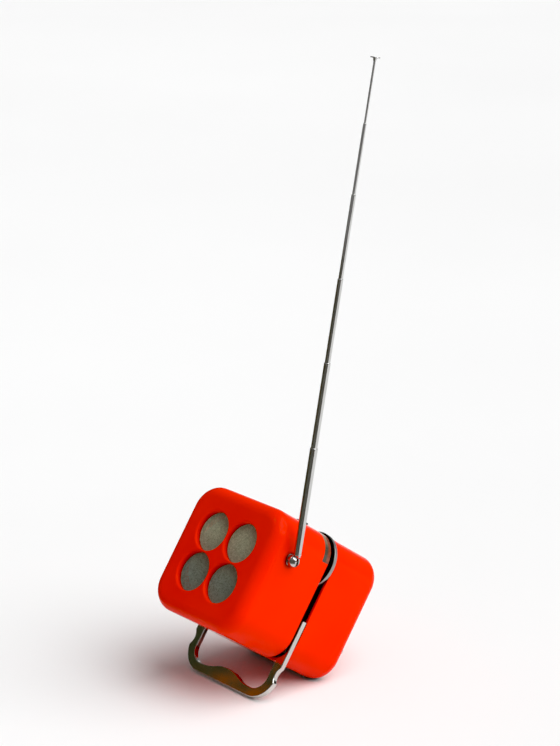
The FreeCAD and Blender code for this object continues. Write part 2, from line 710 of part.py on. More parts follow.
def middle_frame():
    """Black frame in the groove: handle channel, wheel slots and button slots."""
    half = HALF - FRAME_INSET
    radius = CORNER_R - FRAME_INSET
    body = rounded_block(half, half, radius, FRAME_FRONT_Y, FRAME_REAR_Y)
    core_x = HANDLE_INNER_X - SLOT_GAP
    channel_top = HANDLE_TOP_Z + HANDLE_TRAVEL + CHANNEL_HEADROOM
    corner_z = GRIP_HOLLOW_Z + GRIP_CORNER_R + HANDLE_TRAVEL
    core_steps = [("line", (-core_x, channel_top), (core_x, channel_top)),
                  ("line", (core_x, channel_top), (core_x, corner_z))]
    core_steps += grip_curve(SLOT_GAP, HANDLE_TRAVEL)
    core_steps.append(("line", (-core_x, corner_z), (-core_x, channel_top)))
    slot_depth = FRAME_SLOT_END_Y - FRAME_SLOT_Y
    core = Part.Face(Part.Wire(outline_edges(core_steps))).extrude(V(0, slot_depth, 0))
    channel = block(-HALF, HALF, 0, slot_depth, -HALF, channel_top).cut(core)
    lug_path = block(LUG_X - SLOT_GAP, HANDLE_INNER_X, 0, slot_depth,
                     LUG_TOP_Z - LUG_HEIGHT - SLOT_GAP, LUG_TOP_Z + HANDLE_TRAVEL + LUG_HEADROOM)
    tools = [at(path, y=FRAME_SLOT_Y) for path in (channel, lug_path, mirrored(lug_path))]
    front = FRAME_FRONT_Y - PAST
    rear = FRAME_REAR_Y + PAST
    pocket = block(*SPRING_POCKET_X, SPRING_POCKET_Y, FRAME_SLOT_Y, *SPRING_POCKET_Z)
    tools += [pocket, mirrored(pocket)]
    for side in (-1, 1):
        tools.append(rod(WHEEL_R + WHEEL_GAP, FRAME_SLOT_Y, WHEEL_SLOT_END_Y, side * WHEEL_C, WHEEL_C))
        tools.append(rod(SPINDLE_R + SPINDLE_FIT, front, rear, side * WHEEL_C, WHEEL_C))
        tools.append(rod(SCREW_R, front, rear, side * FRONT_BOSS[0], FRONT_BOSS[1]))
    tools.append(rod(DRUM_R + SCALE_THICKNESS + DRUM_GAP, front, FRAME_SLOT_Y, WHEEL_C, WHEEL_C))
    tools.append(rounded_block(FRAME_HOLE_HALF_X, FRAME_HOLE_HALF_Z, FRAME_HOLE_R, front, rear,
                               0.0, FRAME_HOLE_Z))
    button_half = BUTTON_DEPTH / 2 + SLOT_GAP
    row_half = BUTTON_PITCH + BUTTON_WIDTH / 2 + SLOT_GAP
    tools.append(block(BUTTON_X - row_half, BUTTON_X + row_half,
                       BUTTON_Y - button_half, BUTTON_Y + button_half, SWITCH_TOP_Z - SWITCH_POCKET, HALF))
    body = cut(body, tools)
    posts = []
    post_holes = []
    for x, z in BOARD_POSTS:
        posts.append(rod(BOARD_POST_R, BOARD_Y + BOARD_THICKNESS, FRAME_FRONT_Y + ROOT, x, z))
        post_holes.append(rod(SCREW_R, BOARD_Y, BOARD_Y + BOARD_SCREW_LENGTH, x, z))
    for x, z in REAR_BOSSES:
        for side in (-1, 1):
            posts.append(rod(BOSS_R, FRAME_REAR_Y - ROOT, REAR_BOSS_Y, side * x, z))
            post_holes.append(rod(SCREW_R, FRAME_REAR_Y + PAST, REAR_BOSS_Y + PAST, side * x, z))
    return cut(joined([body] + posts), post_holes)


def wheel():
    """Thumb wheel with rounded edges and a hub bore."""
    disc = rod(WHEEL_R, WHEEL_Y, WHEEL_Y + WHEEL_THICKNESS)
    disc = disc.makeFillet(WHEEL_EDGE_R, edges_where(disc, lambda edge, middle: not runs_along_y(edge)))
    return disc.cut(rod(SPINDLE_R, 0, 2 * WHEEL_THICKNESS))


def build_wheels():
    """Tuning wheel with its dial drum on the right, volume wheel on the left."""
    spindle = rod(SPINDLE_R, BOARD_Y - SPINDLE_FRONT, FRAME_REAR_Y - SPINDLE_END_GAP)
    add("tuning_wheel", at(wheel(), x=WHEEL_C, z=WHEEL_C))
    add("volume_wheel", at(wheel(), x=-WHEEL_C, z=WHEEL_C))
    add("tuning_spindle", at(spindle, x=WHEEL_C, z=WHEEL_C))
    add("volume_spindle", at(spindle, x=-WHEEL_C, z=WHEEL_C))
    drum = rod(DRUM_R, DRUM_FRONT_Y, WHEEL_Y).cut(rod(DRUM_R - DRUM_WALL, DRUM_FRONT_Y, WHEEL_Y))
    add("dial_drum", at(drum, x=WHEEL_C, z=WHEEL_C))
    strip = rod(DRUM_R + SCALE_THICKNESS, SCALE_FRONT_Y, SCALE_REAR_Y).cut(rod(DRUM_R, DRUM_FRONT_Y, 0))
    add("dial_scale", at(strip, x=WHEEL_C, z=WHEEL_C))
    add("dial_window", dial_window())


# ------------------------------------------------------------ buttons and board

def build_buttons():
    """Three push buttons with feet that stand on the switch block's plungers."""
    for index, side in enumerate(BUTTON_NAMES):
        x = BUTTON_X + (index - 1) * BUTTON_PITCH
        cap = block(x - BUTTON_WIDTH / 2, x + BUTTON_WIDTH / 2, BUTTON_Y - BUTTON_DEPTH / 2,
                    BUTTON_Y + BUTTON_DEPTH / 2, BUTTON_BOTTOM_Z, BUTTON_TOP_Z)
        upper = edges_where(cap, lambda edge, middle: middle.z > BUTTON_TOP_Z - TINY)
        cap = cap.makeFillet(BUTTON_EDGE_R, upper)
        stem = block(x - STEM_HALF, x + STEM_HALF, BUTTON_Y - STEM_HALF, BUTTON_Y + STEM_HALF,
                     SWITCH_TOP_Z - BUTTON_TRAVEL - STEM_LENGTH, BUTTON_BOTTOM_Z + ROOT)
        add("push_button_" + side, joined([cap, stem]))
    switch = block(BUTTON_X - SWITCH_HALF_X, BUTTON_X + SWITCH_HALF_X,
                   BUTTON_Y - SWITCH_HALF_Y, BUTTON_Y + SWITCH_HALF_Y,
                   SWITCH_TOP_Z - SWITCH_HEIGHT, SWITCH_TOP_Z)
    wheel_paths = [rod(WHEEL_R + WHEEL_GAP, 0, WHEEL_SLOT_END_Y, side * WHEEL_C, WHEEL_C) for side in (-1, 1)]
    half = STEM_HALF + STEM_GAP
    stems = [block(x - half, x + half, BUTTON_Y - half, BUTTON_Y + half,
                   SWITCH_TOP_Z - SWITCH_WELL, SWITCH_TOP_Z + PAST)
             for x in (BUTTON_X - BUTTON_PITCH, BUTTON_X, BUTTON_X + BUTTON_PITCH)]
    add("switch_block", cut(switch, wheel_paths + stems))


def build_board():
    """Circuit board, its screws and the two controls that the wheels turn."""
    board_rear = BOARD_Y + BOARD_THICKNESS
    board = rounded_block(BOARD_HALF_X, BOARD_HALF_Z, BOARD_CORNER_R, BOARD_Y, board_rear, 0.0, BOARD_MID_Z)
    holes = [rod(SPINDLE_R + BOARD_SPINDLE_FIT, BOARD_Y - PAST, board_rear + PAST, side * WHEEL_C, WHEEL_C)
             for side in (-1, 1)]
    holes += [rod(SCREW_R + BOARD_SCREW_FIT, BOARD_Y - PAST, board_rear + PAST, x, z) for x, z in BOARD_POSTS]
    add("circuit_board", cut(board, holes))
    add("board_screws", Part.makeCompound([screw(x, z, BOARD_Y, BOARD_SCREW_LENGTH, facing=-1)
                                           for x, z in BOARD_POSTS]))
    bore = rod(SPINDLE_R + SPINDLE_FIT, BOARD_Y - CONTROL_BORE_DEPTH, BOARD_Y + PAST)
    capacitor = block(-TUNER_HALF, TUNER_HALF, BOARD_Y - TUNER_DEPTH, BOARD_Y, -TUNER_HALF, TUNER_HALF)
    add("tuning_capacitor", at(capacitor.cut(bore), x=WHEEL_C, z=WHEEL_C))
    control = rod(CONTROL_R, BOARD_Y - CONTROL_DEPTH, BOARD_Y).cut(bore)
    add("volume_control", at(control, x=-WHEEL_C, z=WHEEL_C))


def build_components():
    """The parts soldered to the board."""
    cans = [block(x - CAN_HALF, x + CAN_HALF, BOARD_Y - CAN_HEIGHT, BOARD_Y,
                  CAN_Z - CAN_HALF, CAN_Z + CAN_HALF) for x in CAN_X]
    add("coil_cans", Part.makeCompound(cans))
    smoothing = [rod(SMOOTHING_R, BOARD_Y - SMOOTHING_HEIGHT, BOARD_Y, x, SMOOTHING_Z) for x in SMOOTHING_X]
    add("smoothing_capacitors", Part.makeCompound(smoothing))
    transistors = [rod(TRANSISTOR_R, BOARD_Y - TRANSISTOR_HEIGHT, BOARD_Y, x, TRANSISTOR_Z)
                   for x in TRANSISTOR_X]
    add("transistors", Part.makeCompound(transistors))


def beside_ferrite(radius, x, length):
    """Cylinder along X about the ferrite aerial's line."""
    return Part.makeCylinder(radius, length, V(x, FERRITE_Y, FERRITE_Z), AXIS_X)


def build_ferrite():
    """Ferrite aerial with its winding and two holders that stand on the board."""
    add("ferrite_rod", beside_ferrite(FERRITE_R, -FERRITE_LENGTH / 2, FERRITE_LENGTH))
    core = beside_ferrite(FERRITE_R, -FERRITE_LENGTH, 2 * FERRITE_LENGTH)
    add("ferrite_coil", beside_ferrite(COIL_R, COIL_X, COIL_LENGTH).cut(core))
    holders = []
    for x in HOLDER_X:
        leg = block(x - HOLDER_HALF, x + HOLDER_HALF, FERRITE_Y, BOARD_Y,
                    FERRITE_Z - HOLDER_LEG_HALF, FERRITE_Z + HOLDER_LEG_HALF)
        ring = beside_ferrite(HOLDER_R, x - HOLDER_HALF, 2 * HOLDER_HALF)
        holders.append(joined([leg, ring]).cut(core))
    add("ferrite_holders", Part.makeCompound(holders))


# ------------------------------------------------------------------ battery bay

def cell(x0, z):
    """One cell along X with its raised tip."""
    jacket = Part.makeCylinder(CELL_R, CELL_LENGTH - CELL_TIP_LENGTH, V(x0, CELL_Y, z), AXIS_X)
    jacket = jacket.makeFillet(CELL_EDGE_R, [edge for edge in jacket.Edges if len(edge.Vertexes) == 1])
    tip_x = x0 + CELL_LENGTH - CELL_TIP_LENGTH
    return joined([jacket, Part.makeCylinder(CELL_TIP_R, CELL_TIP_LENGTH, V(tip_x, CELL_Y, z), AXIS_X)])


def contact(z):
    """Contact plate and spring at the right end of one row of cells."""
    face_x = BAY_HALF_X - CONTACT_THICKNESS
    plate = block(face_x, BAY_HALF_X, CELL_Y - CONTACT_HALF_Y, CELL_Y + CONTACT_HALF_Y,
                  z - CONTACT_HALF_Z, z + CONTACT_HALF_Z)
    wide, narrow = CONTACT_CONE_R
    return [plate, Part.makeCone(wide, narrow, CONTACT_CONE_HEIGHT, V(face_x, CELL_Y, z), V(-1, 0, 0))]


def build_battery_bay():
    """Tray, six cells in three rows and their contacts."""
    outer = bay_block(BAY_WALL, BAY_CORNER_R, BAY_FRONT_Y, REAR_Y - WALL)
    outer = outer.common(case_volume(GROOVE_WIDTH, REAR_Y, WALL))
    add("battery_tray", outer.cut(bay_block(0.0, BAY_CORNER_R, BAY_FRONT_Y + BAY_WALL, REAR_Y)))
    contacts = []
    for row, name in enumerate(CELL_ROWS):
        z = BATTERY_MID_Z + (row - 1) * CELL_PITCH_Z
        cells = [cell(x0, z) for x0 in (-CELL_LENGTH - CELL_GAP, CELL_GAP)]
        add("battery_cells_" + name, Part.makeCompound(cells))
        for piece in contact(z):
            contacts += [piece, mirrored(piece)]
    add("battery_contacts", Part.makeCompound(contacts))


def build_battery_door():
    """Hinged door with its pins, finger notch and grip grooves."""
    door = door_block(0.0, REAR_Y - DOOR_THICKNESS, REAR_Y)
    lower = edges_where(door, lambda edge, middle: middle.z < BATTERY_MID_Z and not runs_along_y(edge))
    door = door.makeFillet(DOOR_EDGE_R, lower)
    notch_z = BATTERY_MID_Z + BAY_HALF_Z - DOOR_NOTCH_INSET
    notch = Part.makeCylinder(DOOR_NOTCH_R, DOOR_NOTCH_WIDTH,
                              V(-DOOR_NOTCH_WIDTH / 2, REAR_Y + DOOR_NOTCH_STANDOFF, notch_z), AXIS_X)
    pins = [on_hinge(DOOR_PIN_R, x0, x0 + DOOR_PIN_LENGTH)
            for x0 in (-DOOR_PIN_X - DOOR_PIN_LENGTH, DOOR_PIN_X)]
    grooves = []
    for step in range(DOOR_RIBS):
        z = BATTERY_MID_Z - DOOR_RIB_FIRST + DOOR_RIB_PITCH * step
        grooves.append(block(-DOOR_RIB_REACH, DOOR_RIB_REACH, REAR_Y - DOOR_RIB_DEPTH, REAR_Y + PAST,
                             z - DOOR_RIB_HALF, z + DOOR_RIB_HALF))
    add("battery_door", cut(joined([door] + pins), [notch] + grooves))


def build_sockets_and_case_screws():
    """Earphone socket on the left side and the screws that hold the case together."""
    left = -HALF
    mouth = V(left, SOCKET_Y, SOCKET_Z)
    barrel = Part.makeCylinder(SOCKET_BARREL_R, WALL + SOCKET_BARREL_END, mouth, AXIS_X)
    housing = Part.makeCylinder(SOCKET_BODY_R, SOCKET_BODY_LENGTH, V(left + WALL, SOCKET_Y, SOCKET_Z), AXIS_X)
    bore = Part.makeCylinder(SOCKET_BORE_R, SOCKET_BORE_DEPTH, mouth, AXIS_X)
    add("earphone_socket", joined([barrel, housing]).cut(bore))

    head_y = REAR_Y - REAR_HEAD_POCKET
    rear = [screw(side * x, z, head_y, head_y - FRAME_REAR_Y - REAR_SCREW_END, REAR_HEAD_R)
            for x, z in REAR_BOSSES for side in (-1, 1)]
    add("rear_case_screws", Part.makeCompound(rear))
    boss_x, boss_z = FRONT_BOSS
    front_length = FRAME_REAR_Y + FRONT_SCREW_LENGTH
    front = [screw(side * boss_x, boss_z, FRAME_REAR_Y, front_length) for side in (-1, 1)]
    add("front_case_screws", Part.makeCompound(front))


# ------------------------------------------------------------------- antenna

def on_mast(shape):
    """From the mast's own frame, Z along it and origin at the ball, to the body frame."""
    moved = shape.copy()
    moved.rotate(V(0, 0, 0), AXIS_X, MAST_LEAN_DEG)
    moved.translate(V(BALL_X, BALL_Y, BALL_Z))
    return moved


def along_mast(radius, start, end):
    """Cylinder on the mast's centre line in the mast's own frame."""
    return Part.makeCylinder(radius, end - start, V(MAST_OFFSET_X, 0, start), AXIS_Z)


def tube(index):
    """One stage of the mast in the mast's own frame, with a rolled-in upper lip."""
    radius = TUBE_RADII[index]
    top = MAST_JOINTS[index]
    start = MAST_START + COLLAR_LENGTH if index == 0 else MAST_JOINTS[index - 1] - TUBE_OVERLAP
    if index == len(TUBE_RADII) - 1:
        return along_mast(radius, start, top)
    next_r = TUBE_RADII[index + 1]
    body = along_mast(radius, start, top - LIP_LENGTH)
    lip = Part.makeCone(radius, next_r + LIP_FIT, LIP_LENGTH, V(MAST_OFFSET_X, 0, top - LIP_LENGTH), AXIS_Z)
    return joined([body, lip]).cut(along_mast(next_r + TUBE_CLEARANCE, start, top + PAST))


def antenna_bush():
    """Threaded bush in the side wall that the ball's plug turns in."""
    inner_x = HALF - BUSH_LENGTH
    bush = Part.makeCylinder(BUSH_R, BUSH_LENGTH, V(inner_x, BALL_Y, BALL_Z), AXIS_X)
    flange = Part.makeCylinder(BUSH_FLANGE_R, BUSH_FLANGE_THICKNESS, V(inner_x, BALL_Y, BALL_Z), AXIS_X)
    bore = Part.makeCylinder(PLUG_R + BUSH_BORE_FIT, BUSH_LENGTH + 2 * PAST,
                             V(inner_x - PAST, BALL_Y, BALL_Z), AXIS_X)
    return joined([bush, flange]).cut(bore)


def antenna_swivel():
    """Ball with a flat back, a plug and the slot that the tang folds in."""
    ball = Part.makeSphere(BALL_R).common(block(BALL_FLAT_X, BALL_R, -BALL_R, BALL_R, -BALL_R, BALL_R))
    plug = Part.makeCylinder(PLUG_R, BALL_FLAT_X - PLUG_X + ROOT, V(PLUG_X, 0, 0), AXIS_X)
    slot_half = TANG_THICKNESS / 2 + BALL_SLOT_GAP
    far = 2 * BALL_R
    slots = [rod(BALL_EYE_R, -slot_half, slot_half),
             block(0, far, -slot_half, slot_half, -far, far),
             block(-BALL_EYE_R, far, -slot_half, slot_half, 0, far),
             rod(PIVOT_R, -BALL_R, BALL_R),
             rod(PIVOT_POCKET_R, -far, PIVOT_HEAD_Y[1])]
    return cut(joined([ball, plug]), slots)


def pivot_screw():
    """Small screw through the ball and the tang's eye."""
    head_end, head_start = PIVOT_HEAD_Y
    pivot = joined([rod(PIVOT_R, head_start, PIVOT_TIP_Y), rod(PIVOT_HEAD_R, head_end, head_start)])
    return pivot.cut(block(-2 * PIVOT_HEAD_R, 2 * PIVOT_HEAD_R, head_end, head_end + PIVOT_SLOT_DEPTH,
                           -PIVOT_SLOT_HALF, PIVOT_SLOT_HALF))


def antenna_tang():
    """Flat blade with an eye, a collar and the spigot that carries the first stage."""
    near = MAST_OFFSET_X - TANG_HEAD_HALF
    far = MAST_OFFSET_X + TANG_HEAD_HALF
    corners = [(-TANG_HALF, 0.0), (-TANG_HALF, TANG_NECK_Z), (near, MAST_START), (far, MAST_START),
               (far, TANG_HEAD_Z), (TANG_HALF, 0.0)]
    outline = Part.makePolygon([V(x, -TANG_THICKNESS / 2, z) for x, z in corners + corners[:1]])
    plate = Part.Face(outline).extrude(V(0, TANG_THICKNESS, 0))
    eye = rod(TANG_HALF, -TANG_THICKNESS / 2, TANG_THICKNESS / 2)
    collar = along_mast(COLLAR_R, MAST_START, MAST_START + COLLAR_LENGTH)
    foot = edges_where(collar, lambda edge, middle: abs(middle.z - MAST_START) < TINY)
    collar = collar.makeFillet(COLLAR_EDGE_R, foot)
    spigot_z = MAST_START + SPIGOT_START
    spigot = along_mast(TUBE_RADII[1] + TUBE_CLEARANCE, spigot_z, spigot_z + SPIGOT_LENGTH)
    return joined([plate, eye, collar, spigot]).cut(rod(PIVOT_R + PIVOT_FIT, -BALL_R, BALL_R))


def antenna_cap():
    """Flat button on the last stage, with a short cone under it."""
    top = MAST_JOINTS[-1]
    stem_r = TUBE_RADII[-1]
    foot = V(MAST_OFFSET_X, 0, top - CAP_CONE)
    cone = Part.makeCone(stem_r + CAP_NECK_FIT, CAP_CONE_R, CAP_CONE, foot, AXIS_Z)
    cone = cone.cut(along_mast(stem_r, top - CAP_CONE, top))
    disc = along_mast(CAP_R, top, top + CAP_THICKNESS)
    disc = disc.makeFillet(CAP_EDGE_R, [edge for edge in disc.Edges if len(edge.Vertexes) == 1])
    return joined([cone, disc])


def build_antenna():
    """Swivelling ball, folding tang and six nested stages."""
    add("antenna_bush", antenna_bush())
    add("antenna_swivel", on_mast(antenna_swivel()))
    nut = Part.makeCylinder(NUT_R, NUT_THICKNESS, V(PLUG_X + NUT_GAP, 0, 0), AXIS_X)
    plug_path = Part.makeCylinder(PLUG_R, 2 * NUT_THICKNESS, V(PLUG_X, 0, 0), AXIS_X)
    add("antenna_nut", on_mast(nut.cut(plug_path)))
    add("antenna_pivot_screw", on_mast(pivot_screw()))
    add("antenna_tang", on_mast(antenna_tang()))
    for index in range(len(TUBE_RADII)):
        add("antenna_stage_%d" % (index + 1), on_mast(tube(index)))
    add("antenna_cap", on_mast(antenna_cap()))


# --------------------------------------------------------------- resting pose

def lean_angle():
    """Angle in degrees at which the handle's rear edge and the rear fillet share a floor."""
    edge_y = HANDLE_Y + HANDLE_THICKNESS - HANDLE_EDGE_R
    edge_z = HANDLE_BOTTOM_Z + HANDLE_EDGE_R
    fillet_y = REAR_Y - EDGE_R
    fillet_z = -HALF + EDGE_R
    span = math.hypot(fillet_y - edge_y, fillet_z - edge_z)
    slope = math.atan2(fillet_z - edge_z, fillet_y - edge_y)
    return math.degrees(slope - math.asin((EDGE_R - HANDLE_EDGE_R) / span))


def rest_placement():
    """Body frame to resting pose: lean back, then move the box's floor middle to the origin."""
    lean = lean_angle()
    turn = FreeCAD.Rotation(AXIS_X, -lean)
    fillet = turn.multVec(V(0, REAR_Y - EDGE_R, -HALF + EDGE_R))
    wheel_side = -WHEEL_C - WHEEL_R
    cap_side = BALL_X + MAST_OFFSET_X + CAP_R
    middle_x = (wheel_side + cap_side) / 2
    return FreeCAD.Placement(V(-middle_x, 0, EDGE_R - fillet.z), turn)


def main():
    """Build every node and write its file."""
    add("front_shell", front_shell())
    add("rear_shell", rear_shell())
    add("middle_frame", middle_frame())
    build_grilles()
    build_baffle()
    build_speaker()
    build_handle()
    build_wheels()
    build_buttons()
    build_board()
    build_components()
    build_ferrite()
    build_battery_bay()
    build_battery_door()
    build_sockets_and_case_screws()
    build_antenna()
    placement = rest_placement()
    os.makedirs("parts", exist_ok=True)
    for name, shape in NODES.items():
        placed = shape.copy()
        placed.Placement = placement.multiply(placed.Placement)
        placed.exportStep("parts/%s.step" % name)
        print("%-26s solids %d  volume %.1f" % (name, len(shape.Solids), shape.Volume), shape.isValid())
    print("lean", lean_angle(), "placement", placement)


main()
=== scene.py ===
import json
import math

import bmesh
import bpy
from mathutils import Matrix, Vector


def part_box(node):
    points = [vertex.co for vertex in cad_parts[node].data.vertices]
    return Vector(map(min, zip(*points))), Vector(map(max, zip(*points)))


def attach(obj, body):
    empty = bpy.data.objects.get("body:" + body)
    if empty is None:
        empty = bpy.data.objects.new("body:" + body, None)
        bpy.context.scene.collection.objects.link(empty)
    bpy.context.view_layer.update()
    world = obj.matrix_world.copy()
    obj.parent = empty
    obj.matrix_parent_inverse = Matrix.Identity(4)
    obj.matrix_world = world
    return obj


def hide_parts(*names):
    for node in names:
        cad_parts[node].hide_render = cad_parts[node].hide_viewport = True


# Looks of the portable cube receiver. Metres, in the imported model's own frame.
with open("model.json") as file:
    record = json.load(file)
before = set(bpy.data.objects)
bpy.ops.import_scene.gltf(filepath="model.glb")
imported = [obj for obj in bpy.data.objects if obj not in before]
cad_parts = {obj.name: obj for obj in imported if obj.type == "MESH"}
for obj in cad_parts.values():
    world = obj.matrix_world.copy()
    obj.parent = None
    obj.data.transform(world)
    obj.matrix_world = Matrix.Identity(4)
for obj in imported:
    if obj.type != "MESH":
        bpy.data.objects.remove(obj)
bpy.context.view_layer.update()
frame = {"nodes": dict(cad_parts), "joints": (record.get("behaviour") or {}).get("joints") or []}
NODES = frame["nodes"]
MM = 0.001

# --- Camera ---
AIM = Vector((-0.0612, 0.0636, 0.3040))
CAMERA_DISTANCE = 2.5209
CAMERA_AZIMUTH = 49.835
CAMERA_ELEVATION = 15.962
CAMERA_ROLL = 0.24
LENS = 115.135
SENSOR = 36.0
CLIP_END = 100.0
BLACK_LEVEL = (0.005, 0.008, 0.010)

# --- Floor and backdrop ---
FLOOR_REACH = 14.0
FLOOR_PALE = (0.90, 0.90, 0.90)
FLOOR_PALE_DEEP = (0.87, 0.87, 0.87)
BACKDROP_RADIUS = 13.5
BACKDROP_TOP = 9.0
BACKDROP_STEPS = 72
BACKDROP_GLOW = (0.955, 0.955, 0.955)
BACKDROP_GLOW_DEEP = (0.945, 0.945, 0.945)

# --- Lamps ---
SURROUND = 0.24
SUN_STRENGTH = 3.5
SUN_SPREAD = 70.0
SUN_FROM = (0.66, 0.40, 1.0)
SUN_DISTANCE = 3.0
TOP_FROM = (-0.24, -0.33, 0.91)
TOP_SIZE = (0.06, 0.06)
TOP_POWER = 1.2
TOP_DISTANCE = 1.3

# --- Dark card ---
CARD_RADIUS = 0.62
CARD_START = -125.0
CARD_END = 79.0
CARD_LOW = 0.004
CARD_TOP = 0.52
CARD_STEPS = 48
CARD_FOOT = 0.28
CARD_DARK = (0.036, 0.044, 0.026)
CARD_GREY = (0.20, 0.20, 0.178)
CARD_BROWN = (0.29, 0.070, 0.008)
PATCH_LEFT = -0.48
PATCH_RIGHT = -0.32
BLACK = (0.0, 0.0, 0.0)
WHITE = (1.0, 1.0, 1.0)

# --- Case ---
CASE_RED = (0.90, 0.024, 0.0)
CASE_RED_DEEP = (0.84, 0.018, 0.0)
# Painted shade: the case red turns to this deep red in crevices and grooves, within this reach.
PAINTED_SHADE_RED = (0.030, 0.001, 0.0)
PAINTED_SHADE_REACH = 5.0 * MM
CREASE_DEG = 38.0

# --- Mast tubes ---
MAST_BODIES = ("antenna_arm", "antenna_two", "antenna_three", "antenna_four", "antenna_five", "antenna_six")
MAST_NODES = ["antenna_stage_%d" % (stage + 1) for stage in range(len(MAST_BODIES))]
TUBE_SIDES = 64
TUBE_GAP = 0.08 * MM
TUBE_ROLL = 1.6 * MM
TUBE_CHAMFER = 0.12 * MM
LAST_BORE_SHARE = 0.25
ROLL_STEPS = 6

# --- Thumb wheels. The face inset and the two shoulder values are in bevels. ---
WHEEL_TEETH = 168
WHEEL_TOOTH = 0.10 * MM
WHEEL_LINE = 0.16 * MM
WHEEL_LINE_AT = 1.55 * MM
WHEEL_BEVEL = 0.55 * MM
WHEEL_FACE_INSET = 1.6
WHEEL_SHOULDER_IN = 0.5
WHEEL_SHOULDER_DOWN = 0.4
WHEEL_BORE_R = 3.0 * MM
# Painted shade: this front share of each wheel rim's depth is coloured near-black, as the shade beside the
# dial window.
WHEEL_SHADE_SHARE = 0.29
WHEEL_PAINTED_SHADE = (0.010, 0.009, 0.008)

# --- Dial printing. Sizes across the strip are shares of its width. ---
PRINT_HEIGHT = 0.04 * MM
PRINT_STEP_DEG = 3.75
PRINT_FIRST_DEG = -84.0
PRINT_NUMBER_EVERY = 5
PRINT_NUMBERS = ("54", "60", "66", "72", "80", "88", "96", "104", "112", "120", "130", "140", "150", "160")
PRINT_NUMBER_SIZE = 0.30
PRINT_NUMBER_DROP = 0.22
TICK_TOP = 0.46
TICK_LONG = 0.34
TICK_SHORT = 0.20
TICK_LONG_HALF_WIDTH = 0.22 * MM
TICK_SHORT_HALF_WIDTH = 0.13 * MM
TICK_FACES = [(3, 2, 1, 0), (4, 5, 6, 7), (0, 1, 5, 4), (1, 2, 6, 5), (2, 3, 7, 6), (3, 0, 4, 7)]

# --- Dial window, as shares of its depth from front to rear ---
WINDOW_EDGE_START = 0.40
WINDOW_EDGE_END = 0.62

# --- Grille cloth ---
GRILLES = ("grille_mesh_upper_left", "grille_mesh_upper_right",
           "grille_mesh_lower_left", "grille_mesh_lower_right")
CLOTH_PITCH = 0.62 * MM
CLOTH_WIRE_R = 0.155 * MM
CLOTH_WAVE = 0.11 * MM
CLOTH_STEPS = 2
CLOTH_SIDES = 5


# ------------------------------------------------------------------ the frame

def joint(name):
    """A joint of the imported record."""
    return next(j for j in frame["joints"] if j["name"] == name)


UP = Vector(joint("handle_slide")["axis"]).normalized()
BACK = Vector(joint("tuning_turn")["axis"]).normalized()
RIGHT = Vector((1, 0, 0))
MAST = -Vector(joint("antenna_stage_2_slide")["axis"]).normalized()


def middle(node):
    """Middle of a CAD node's box."""
    low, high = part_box(node)
    return (low + high) / 2


def spread(node, axis):
    """Lowest and highest reach of a CAD node along an axis."""
    reach = [Vector(v.co).dot(axis) for v in NODES[node].data.vertices]
    return min(reach), max(reach)


def half_width(node):
    """Half of a CAD node's width, which is the radius of a round one."""
    left, right = spread(node, RIGHT)
    return (right - left) / 2


def centre_along(node, axis):
    """Middle of a CAD node's reach along an axis."""
    return sum(spread(node, axis)) / 2


def basis(x, y, z, origin):
    """Matrix that takes local x, y and z to three directions at an origin."""
    return Matrix(((x.x, y.x, z.x, origin.x),
                   (x.y, y.y, z.y, origin.y),
                   (x.z, y.z, z.z, origin.z),
                   (0, 0, 0, 1)))


def on_face(node):
    """Frame at a node's middle: X right, Y towards the back, Z up the case."""
    return basis(RIGHT, BACK, UP, middle(node))


def placed(name, data):
    """New object in the scene."""
    made = bpy.data.objects.new(name, data)
    bpy.context.scene.collection.objects.link(made)
    return made


def piece(name, mesh_builder, matrix, body, material, replaces=(), smooth=True):
    """New object from a bmesh, put in place, riding on a body and standing for CAD nodes."""
    built = bmesh.new()
    mesh_builder(built)
    bmesh.ops.recalc_face_normals(built, faces=built.faces)
    built.transform(matrix)
    data = bpy.data.meshes.new(name)
    built.to_mesh(data)
    built.free()
    for polygon in data.polygons:
        polygon.use_smooth = smooth
    if smooth:
        data.set_sharp_from_angle(angle=math.radians(CREASE_DEG))
    made = placed(name, data)
    data.materials.append(material)
    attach(made, body)
    if replaces:
        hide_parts(*replaces)
    return made


def dress(material, *names):
    """Give CAD nodes a material."""
    for name in names:
        data = NODES[name].data
        data.materials.clear()
        data.materials.append(material)


# ------------------------------------------------------------------- materials

def opaque(colour):
    """Colour with full alpha."""
    return (*colour, 1.0)


